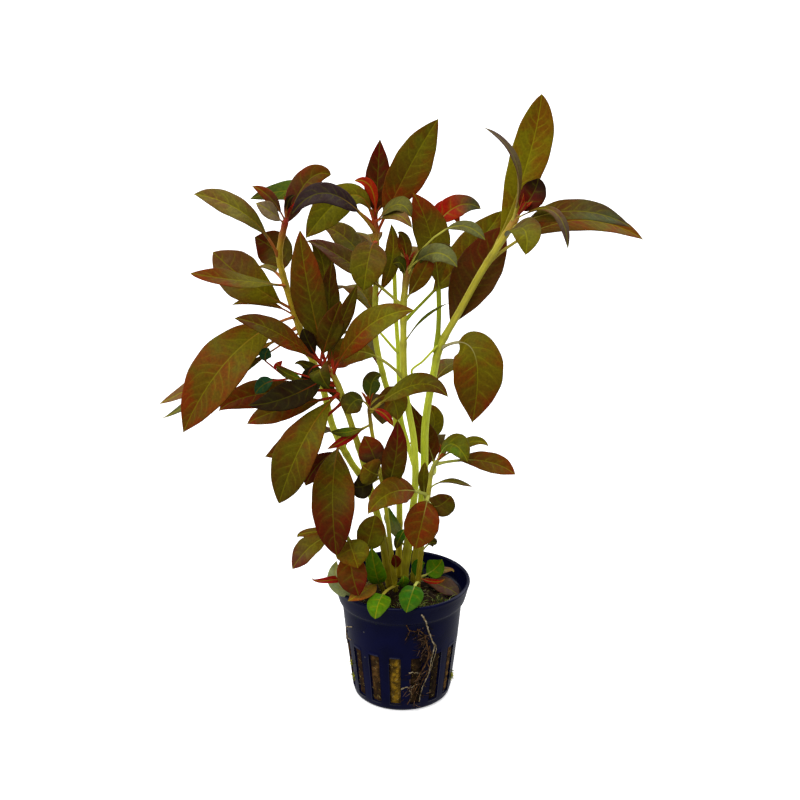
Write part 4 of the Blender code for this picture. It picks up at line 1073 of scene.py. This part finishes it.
def strands_part(starts, ways, lengths, radii, tones, bends, sides=3, joints=4):
    """Many fine strands in one mesh: each is a bent tube of a few sides, tapering to its end.

    A strand's line is start + way * t + bend * t squared, with t from 0 to 1, all strands in one array.
    """
    count = len(starts)
    t = np.linspace(0, 1, joints)[None, :, None]
    line = starts[:, None] + ways[:, None] * lengths[:, None, None] * t + bends[:, None] * t**2
    ahead = unit(np.gradient(line, axis=1))
    across = unit(np.cross(ahead, (0.13, 0.31, 0.94)))
    other = np.cross(ahead, across)
    turn = np.linspace(0, 2 * math.pi, sides, endpoint=False)[None, None, :, None]
    taper = (1 - 0.6 * t[..., 0])[..., None, None] * radii[:, None, None, None]
    rings = line[:, :, None] + taper * (np.cos(turn) * across[:, :, None] + np.sin(turn) * other[:, :, None])
    each = joints * sides
    quads = sheet_faces(joints, sides, True)
    offset = (np.arange(count) * each)[:, None, None]
    caps = np.array([list(range(sides))[::-1], list(range(each - sides, each))])[:, :3]
    return {
        "points": rings.reshape(-1, 3),
        "quads": (quads[None] + offset).reshape(-1, 4),
        "triangles": (caps[None] + offset).reshape(-1, 3),
        "strand_tone": np.repeat(tones, each, 0),
    }


def ways_at(turn):
    """Level unit vectors at angles about the pot's axis: outwards, and sideways along the wall."""
    level = np.zeros(len(turn))
    outward = np.stack([np.cos(turn), np.sin(turn), level], 1)
    return outward, np.stack([-np.sin(turn), np.cos(turn), level], 1)


def picked_tones(chance, codes, count):
    """One of the colours for each strand, a little lighter or darker."""
    palette = np.array([colour(code) for code in codes])
    tones = palette[chance.integers(0, len(codes), count)]
    tones[:, :3] *= chance.uniform(0.7, 1.25, (count, 1))
    return tones


def fibre_part(settings, chance):
    """Loose wool fibres: short ones lying in the slots, longer ones across the crown."""
    each = settings.slot_fibres
    slot = np.repeat(np.arange(SLOT_COUNT), each)
    count = len(slot)
    degrees = SLOT_FIRST + 90 + slot * 360 / SLOT_COUNT + chance.uniform(-4.6, 4.6, count)
    height = chance.uniform(SLOT_BOTTOM + 1.2, SLOT_TOP - 2.5, count)
    start = on_wall(degrees, height, -0.55)
    outward, sideways = ways_at(np.radians(degrees - 90))
    tilt = chance.uniform(-1.3, 1.3, count)[:, None]
    way = unit(sideways * np.sin(tilt) + UPWARDS * np.cos(tilt))
    length = chance.uniform(1.0, 2.4, count) * (1 - 0.45 * np.abs(np.sin(tilt[:, 0])))
    bend = outward * chance.uniform(0.0, 0.2, (count, 1)) + sideways * chance.uniform(-0.3, 0.3, (count, 1))
    tones = picked_tones(chance, ("8e7a34", "5a4620", "b0a06a", "3c2a12"), count)
    low = strands_part(start, way, length, np.full(count, 0.09), tones, bend)

    count = settings.crown_fibres
    radius = 20.5 * np.sqrt(chance.uniform(0.02, 1, count))
    turn = chance.uniform(0, 2 * math.pi, count)
    start = np.stack([radius * np.cos(turn), radius * np.sin(turn), crown_height(radius) - 0.4], 1)
    aim = chance.uniform(0, 2 * math.pi, count)
    way = unit(np.stack([np.cos(aim), np.sin(aim), chance.uniform(0.05, 0.5, count)], 1))
    length = chance.uniform(1.5, 4.0, count)
    bend = np.stack([np.zeros(count), np.zeros(count), -length * 0.35], 1)
    tones = picked_tones(chance, ("6e7a24", "8e8a4a", "5a4a20", "3a2a12", "a8a070"), count)
    high = strands_part(start, way, length, np.full(count, 0.11), tones, bend)
    return joined([low, high])


def moss_part(chance):
    """Moss: short strands thick enough to read as leaflets, in clumps on the wool and in a few slots."""
    clumps = ((-12, 3.0, 70), (8, 3.2, 80), (25, 3.4, 60), (60, 3.0, 40), (150, 3.4, 60), (-120, 3.0, 50))
    parts = []
    for angle, spread, count in clumps:
        degrees = angle + chance.normal(0, spread * 2.4, count)
        radius = np.clip(17.2 + chance.normal(0, spread * 0.6, count), 4, 20.5)
        turn = np.radians(degrees - 90)
        start = np.stack([radius * np.cos(turn), radius * np.sin(turn), crown_height(radius) - 0.5], 1)
        way = unit(chance.normal(0, 0.5, (count, 3)) + UPWARDS)
        tones = picked_tones(chance, ("7c8a1e", "5e7016", "96942e", "4a5a14"), count)
        length, bend = chance.uniform(0.7, 1.6, count), chance.normal(0, 0.3, (count, 3))
        parts.append(strands_part(start, way, length, np.full(count, 0.17), tones, bend, joints=3))
    plantlets = ((9, -13, 40), (7, -8, 40), (15, -7, 24), (-10, -12, 40), (-6, -15, 24), (-2, -13, 20),
                 (2, 13, 30), (-14, 6, 20))
    for x, y, count in plantlets:
        start = np.array([x, y, 41.5]) + chance.normal(0, 1, (count, 3)) * (2.2, 2.2, 0.2)
        way = unit(chance.normal(0, 0.75, (count, 3)) + np.array([0, 0, 0.8]))
        length = chance.uniform(3, 7.5, count)
        tones = picked_tones(chance, ("4a6a1c", "86a038", "2c4a14", "aab868", "5a4a1c"), count)
        bend = np.stack([chance.normal(0, 1, count), chance.normal(0, 1, count), -length * 0.55], 1)
        parts.append(strands_part(start, way, length, np.full(count, 0.13), tones, bend, joints=6))
    for angle, height, count in ((74, 8.5, 60), (-70, 15, 30), (-69, 9.5, 30), (160, 12, 40)):
        start = on_wall(angle + chance.normal(0, 1.3, count), height + chance.normal(0, 0.8, count), -0.3)
        outward = unit(start * np.array([1, 1, 0]))
        way = unit(outward + chance.normal(0, 0.45, (count, 3)))
        tones = picked_tones(chance, ("a8a82c", "8e9424", "b4ac44"), count)
        length, bend = chance.uniform(0.6, 1.5, count), chance.normal(0, 0.3, (count, 3))
        parts.append(strands_part(start, way, length, np.full(count, 0.2), tones, bend, joints=3))
    return joined(parts)


def root_parts(chance):
    """Each root is a fine tapering tube along a smooth line just off the wall, with small seeded kinks."""
    tones = {"pale": ("b8a888", "8c7850"), "brown": ("4a3018", "6a4a28")}
    parts = []
    for tone, greatest, path in ROOTS:
        path = np.array(path, float)
        count = max(12, int(len(path) * 7))
        fine = smooth_line(path, count)
        fine += chance.normal(0, 0.16, fine.shape) * np.array([1.2, 1.0])
        taper = np.linspace(1.0, 0.45, count)
        radii = greatest * taper * (1 + 0.22 * np.sin(np.arange(count) * 1.9))
        line = on_wall(fine[:, 0], fine[:, 1], radii + 0.06)
        part = tube_part(line, radii, ROOT_SIDES)
        light, dark = (np.array(colour(code)) for code in tones[tone])
        share = np.repeat(0.5 + 0.5 * np.sin(np.arange(count) * 0.7), ROOT_SIDES)
        part["strand_tone"] = blend(dark, light, np.append(share, [0.5, 0.5])[:, None])
        parts.append(part)
    return parts


def rootlets_part(chance):
    """Rootlets matted against the wall by the long root: short bent strands in clusters, mostly hanging."""
    clusters = ((21, 32, 2.6, 3.4, 90), (24, 25, 2.2, 3.6, 70), (13, 36.5, 5, 1.2, 30), (14, 10, 5, 3, 70),
                (21, 16, 2, 3, 40))
    parts = []
    for angle, height, wide, high, count in clusters:
        degrees = angle + chance.normal(0, wide, count)
        start = on_wall(degrees, np.clip(height + chance.normal(0, high, count), 3, 39), 0.22)
        sideways = ways_at(np.radians(degrees - 90))[1]
        tilt = chance.normal(0, 0.8, count)[:, None]
        way = sideways * np.sin(tilt) - UPWARDS * np.cos(tilt)
        bend = sideways * chance.normal(0, 0.9, (count, 1)) + np.array([0, 0, 0.3])
        tones = picked_tones(chance, ("1c120c", "2a1a10", "3a2414", "120c0a", "86664a"), count)
        length, radii = chance.uniform(1.2, 3.6, count), chance.uniform(0.08, 0.16, count)
        parts.append(strands_part(start, way, length, radii, tones, bend, joints=5))
    return joined(parts)


def joints_on(shoot):
    """Heights at which leaves stand on a shoot."""
    large = [row[1] for row in LEAVES.values() if row[0] == shoot]
    return large + [row[0] for row in LESSER_LEAVES[shoot]]


def dressed_stem(part, tones, round_it, run):
    """The tube with its tones, and with each point's distance round the stem and along it for the streaks."""
    way = np.stack(np.broadcast_arrays(round_it, run[:, None], np.zeros((1, 1))), -1).reshape(-1, 3)
    for key, values in (("stem_tone", tones), ("way", way)):
        part[key] = np.vstack([values, values[:1], values[-1:]])
    return part


def stem_part(shoot, settings, chance):
    """A shoot: a tube whose radius falls from foot to tip, swells at each node and is a little four-cornered.

    The radius is the taper times one plus a narrow bell at each node, times one plus a small cosine of four
    times the angle. Leafless nodes follow at even steps below the lowest leaf.
    """
    path, scale = SHOOTS[shoot]
    rough_length = np.linalg.norm(np.diff(np.array(path, float), axis=0), axis=1).sum()
    count = int(rough_length / (settings.row / MM))
    line = smooth_line(path, count)
    share = np.linspace(0, 1, count)
    run = share * rough_length
    radii = scale * blend(SHOOT_FOOT_RADIUS, SHOOT_TIP_RADIUS, share)
    leafy = np.interp(joints_on(shoot), line[:, 2], run)
    spacing = settings.scar_spacing / MM
    bare = np.arange(spacing * 0.6, max(leafy.min() - spacing * 0.5, spacing), spacing)
    bare = bare + chance.uniform(-1.5, 1.5, len(bare))
    bells = np.exp(-((run[:, None] - np.concatenate([leafy, bare])) / 1.3) ** 2).max(1)
    radii = radii * (1 + settings.swelling * bells)
    radii[-3:] *= (0.85, 0.6, 0.25)
    sides = settings.sides
    turn = np.linspace(0, 2 * math.pi, sides, endpoint=False)
    profile = 1 + 0.06 * np.cos(4 * turn[None]) * np.ones((count, 1))
    part = tube_part(line, radii, sides, profile)
    foot, body, upper, tip = (linear(code) for code in SHOOT_TONES[shoot][:4])
    low = ease(46, 12, run)[:, None]
    leafy_end = ease(rough_length * 0.55, rough_length * 0.75, run)[:, None]
    high = ease(rough_length - 15, rough_length - 1, run)[:, None]
    ring = 0.25 * bells[:, None] * (1 - high)
    tone = blend(body, foot, low)
    for other, share in ((upper, leafy_end), (tip, high), (linear("6a4a1a"), ring)):
        tone = blend(tone, other, share)
    # Painted highlight on the four corners and painted shade in the furrows between them.
    ridge_highlight_furrow_shade = tone[:, None] * (1 + 0.08 * np.cos(4 * turn))[None, :, None]
    tones = np.concatenate([ridge_highlight_furrow_shade.reshape(-1, 3), np.ones((count * sides, 1))], 1)
    return dressed_stem(part, tones, turn[None] * radii[:, None] + chance.uniform(0, 50), run)


def fine_stems_part(chance):
    """Every finer stem as a tube that tapers from foot to tip, in the tone of the shoot it grows with."""
    parts = []
    for shoot, foot, tip, path in FINE_STEMS:
        line = smooth_line(path, 10 * len(path))
        count = len(line)
        share = np.linspace(0, 1, count)
        radii = blend(foot, tip, share)
        radii[[0, -1]] *= 0.5
        part = tube_part(line, radii, FINE_STEM_SIDES)
        low, body = (np.array(colour(code)) for code in SHOOT_TONES[shoot][:2])
        high = ease(45, 75, line[:, 2:3])
        tones = np.repeat(blend(low, body, high), FINE_STEM_SIDES, 0)
        round_it = np.linspace(0, 2 * math.pi * foot, FINE_STEM_SIDES, endpoint=False) + chance.uniform(0, 50)
        parts.append(dressed_stem(part, tones, round_it[None], along_line(line)))
    return joined(parts)


def bud_rows(shoot, chance):
    """Young leaves round a shoot's tip: slender, nearly upright and red, longer outside than inside."""
    line = shoot_line(shoot)
    tip, ahead = line[-1], unit(line[-1] - line[-6])
    across = unit(np.cross(ahead, (0.2, 1.0, 0.1)))
    other = np.cross(ahead, across)
    scale = 1.0 if SHOOTS[shoot][1] >= 0.9 else 0.7
    rows = []
    for turn in range(6):
        a = turn * 2.4 + chance.uniform(0, 1)
        out = math.cos(a) * across + math.sin(a) * other
        reach = scale * (3.2 + 0.9 * turn * 0.8)
        middle = tip + ahead * reach * 0.55 + out * (0.5 + 0.2 * turn)
        end = tip + ahead * reach + out * (0.6 + 0.45 * turn)
        points = (tip - ahead * 1.2 + out * 0.2, middle, end)
        rows.append((points, scale * (1.3 + 0.25 * turn), -out + ahead * 0.3))
    return rows


class LUDWIGIA_OT_stage(bpy.types.Operator):
    """Set a white paper floor, soft lights and the camera"""

    bl_idname = "ludwigia.stage"
    bl_label = "Stage"

    def execute(self, context):
        settings = context.scene.ludwigia_stage
        scene = context.scene
        scene.view_settings.view_transform = "Standard"
        mesh = bpy.data.meshes.new("paper_floor")
        corners = [(FLOOR_HALF * x, FLOOR_HALF * y, 0) for x, y in ((-1, -1), (1, -1), (1, 1), (-1, 1))]
        mesh.from_pydata(corners, [], [(0, 1, 2, 3)])
        mesh.materials.append(backdrop_material())
        floor = bpy.data.objects.new("paper_floor", mesh)
        scene.collection.objects.link(floor)
        floor.visible_diffuse = False
        floor.visible_glossy = False

        # All lights are as wide as large softboxes, so shadows have no edge.
        lights = (
            ("key", (-0.5, -0.55, 1.0), settings.key_strength),
            ("back", (0.6, 0.7, 0.9), settings.back_strength),
            ("left", (-1.0, 0.35, 0.25), settings.side_strength),
            ("right", (1.0, 0.35, 0.25), settings.side_strength),
        )
        for name, way, strength in lights:
            lamp = bpy.data.lights.new(name, "SUN")
            lamp.angle = math.radians(55 if name in ("key", "back") else 35)
            lamp.energy = strength
            made = bpy.data.objects.new(name, lamp)
            x, y, z = way
            made.rotation_euler = (math.atan2(math.hypot(x, y), z), 0, math.atan2(x, -y))
            scene.collection.objects.link(made)

        world = bpy.data.worlds.new("white studio")
        world.use_nodes = True
        tree = world.node_tree
        feed(tree, tree.nodes["Background"], {"Color": (1, 1, 1, 1), "Strength": settings.sky})
        scene.world = world

        lens = bpy.data.cameras.new("camera")
        lens.sensor_width = SENSOR_WIDTH
        lens.lens = SENSOR_WIDTH * settings.focal_share
        lens.clip_start = 0.01
        camera = bpy.data.objects.new("camera", lens)
        camera.location = settings.camera_place
        camera.rotation_euler = (math.pi / 2 - settings.camera_dip, 0, 0)
        scene.collection.objects.link(camera)
        scene.camera = camera
        return {"FINISHED"}


class LUDWIGIA_OT_net_pot(bpy.types.Operator):
    """Build the slotted pot with its rounded lip"""

    bl_idname = "ludwigia.net_pot"
    bl_label = "Net Pot"

    def execute(self, context):
        settings = context.scene.ludwigia_pot
        plastic = plastic_material(settings.colour)
        put("slotted_pot", pot_part(settings), plastic, ("net_pot",))
        return {"FINISHED"}


class LUDWIGIA_OT_growing_medium(bpy.types.Operator):
    """Build the mineral wool, its loose fibres and the moss on it"""

    bl_idname = "ludwigia.growing_medium"
    bl_label = "Growing Medium"

    def execute(self, context):
        settings = context.scene.ludwigia_medium
        chance = np.random.default_rng(11)
        put("wool_plug", wool_part(settings, chance), wool_material(), ("growing_medium",))
        loose = strand_material("loose mineral fibre")
        put("wool_fibres", fibre_part(settings, chance), loose)
        put("moss_tufts", moss_part(chance), strand_material("living moss"))
        return {"FINISHED"}


class LUDWIGIA_OT_roots(bpy.types.Operator):
    """Build the pale and brown roots outside the pot"""

    bl_idname = "ludwigia.roots"
    bl_label = "Outer Roots"

    def execute(self, context):
        parts = root_parts(np.random.default_rng(5))
        skin = strand_material("dried root skin")
        put("long_root", parts[0], skin, ("outer_root",))
        put("side_roots", joined(parts[1:]), skin)
        put("matted_rootlets", rootlets_part(np.random.default_rng(8)), skin)
        return {"FINISHED"}


class LUDWIGIA_OT_shoots(bpy.types.Operator):
    """Build the shoots with their nodes, lesser leaves and young leaves"""

    bl_idname = "ludwigia.shoots"
    bl_label = "Shoots"

    def execute(self, context):
        sizes = leaf_sizes(context.scene.ludwigia_leaf)
        for index, shoot in enumerate(SHOOTS):
            chance = np.random.default_rng(100 + index)
            stem = stem_part(shoot, context.scene.ludwigia_shoot, chance)
            put("stem_" + shoot, stem, shoot_material(), ("shoot_" + shoot,))
            stalk_tone = SHOOT_TONES[shoot][-1]
            parts = []
            for height, middle, tip, width, face, tone, form in LESSER_LEAVES[shoot]:
                start = on_shoot(shoot, height)[0]
                tones = (tone, form.get("stalk_tone", stalk_tone))
                stalk = form.get("stalk", 4)
                points = (start, middle, tip)
                parts.append(leaf_part(
                    points, width, stalk, face, tones, form, chance, sizes, LESSER_STEPS, True))
            for points, width, way in bud_rows(shoot, chance):
                rise = math.degrees(math.asin(np.clip(unit(way)[2], -1, 1)))
                turn = math.degrees(math.atan2(way[0], -way[1]))
                face = (turn, rise)
                parts.append(leaf_part(
                    points, width, BUD_STALK, face, BUD_TONES, BUD_FORM, chance, sizes, BUD_STEPS, True))
            put("lesser_leaves_" + shoot, joined(parts), leaf_material(), ("shoot_" + shoot,))
        fine = fine_stems_part(np.random.default_rng(40))
        put("fine_stems", fine, shoot_material(), ("shoot_centre",))
        return {"FINISHED"}


class LUDWIGIA_OT_leaves(bpy.types.Operator):
    """Build every large leaf as a piece of its own"""

    bl_idname = "ludwigia.leaves"
    bl_label = "Large Leaves"

    def execute(self, context):
        sizes = leaf_sizes(context.scene.ludwigia_leaf)
        for index, (name, row) in enumerate(LEAVES.items()):
            shoot, height, middle, tip, width, stalk, face, tone, form = row
            chance = np.random.default_rng(500 + index)
            at, along, radius = on_shoot(shoot, height)
            away = np.asarray(middle, float) - at
            away = unit(away - (away @ along) * along)
            start = at + away * radius * 0.4
            tones = (tone, form.get("stalk_tone", SHOOT_TONES[shoot][-1]))
            points = (start, middle, tip)
            part = leaf_part(points, width, stalk + radius * 0.6, face, tones, form, chance, sizes)
            put(name + "_blade", part, leaf_material(), (name,))
        return {"FINISHED"}


OPERATORS = (
    LUDWIGIA_OT_stage,
    LUDWIGIA_OT_net_pot,
    LUDWIGIA_OT_growing_medium,
    LUDWIGIA_OT_roots,
    LUDWIGIA_OT_shoots,
    LUDWIGIA_OT_leaves,
)
SETTINGS = {
    "ludwigia_leaf": LudwigiaLeafSettings,
    "ludwigia_shoot": LudwigiaShootSettings,
    "ludwigia_pot": LudwigiaPotSettings,
    "ludwigia_medium": LudwigiaMediumSettings,
    "ludwigia_stage": LudwigiaStageSettings,
}


class LUDWIGIA_PT_panel(bpy.types.Panel):
    """Settings and one button for each part of the plant"""

    bl_idname = "LUDWIGIA_PT_panel"
    bl_label = "Potted Ludwigia"
    bl_space_type = "VIEW_3D"
    bl_region_type = "UI"
    bl_category = "Plant"

    def draw(self, context):
        for name, group in SETTINGS.items():
            box = self.layout.box()
            for key in group.__annotations__:
                box.prop(getattr(context.scene, name), key)
        for operator in OPERATORS:
            self.layout.operator(operator.bl_idname)


def register():
    for kind in (*SETTINGS.values(), *OPERATORS, LUDWIGIA_PT_panel):
        bpy.utils.register_class(kind)
    for name, group in SETTINGS.items():
        setattr(bpy.types.Scene, name, bpy.props.PointerProperty(type=group))


def unregister():
    for name in SETTINGS:
        delattr(bpy.types.Scene, name)
    for kind in (LUDWIGIA_PT_panel, *reversed(OPERATORS), *SETTINGS.values()):
        bpy.utils.unregister_class(kind)


def main():
    register()
    bpy.ops.ludwigia.stage()
    bpy.ops.ludwigia.net_pot()
    bpy.ops.ludwigia.growing_medium()
    bpy.ops.ludwigia.roots()
    bpy.ops.ludwigia.shoots()
    bpy.ops.ludwigia.leaves()


if __name__ == "__main__":
    main()
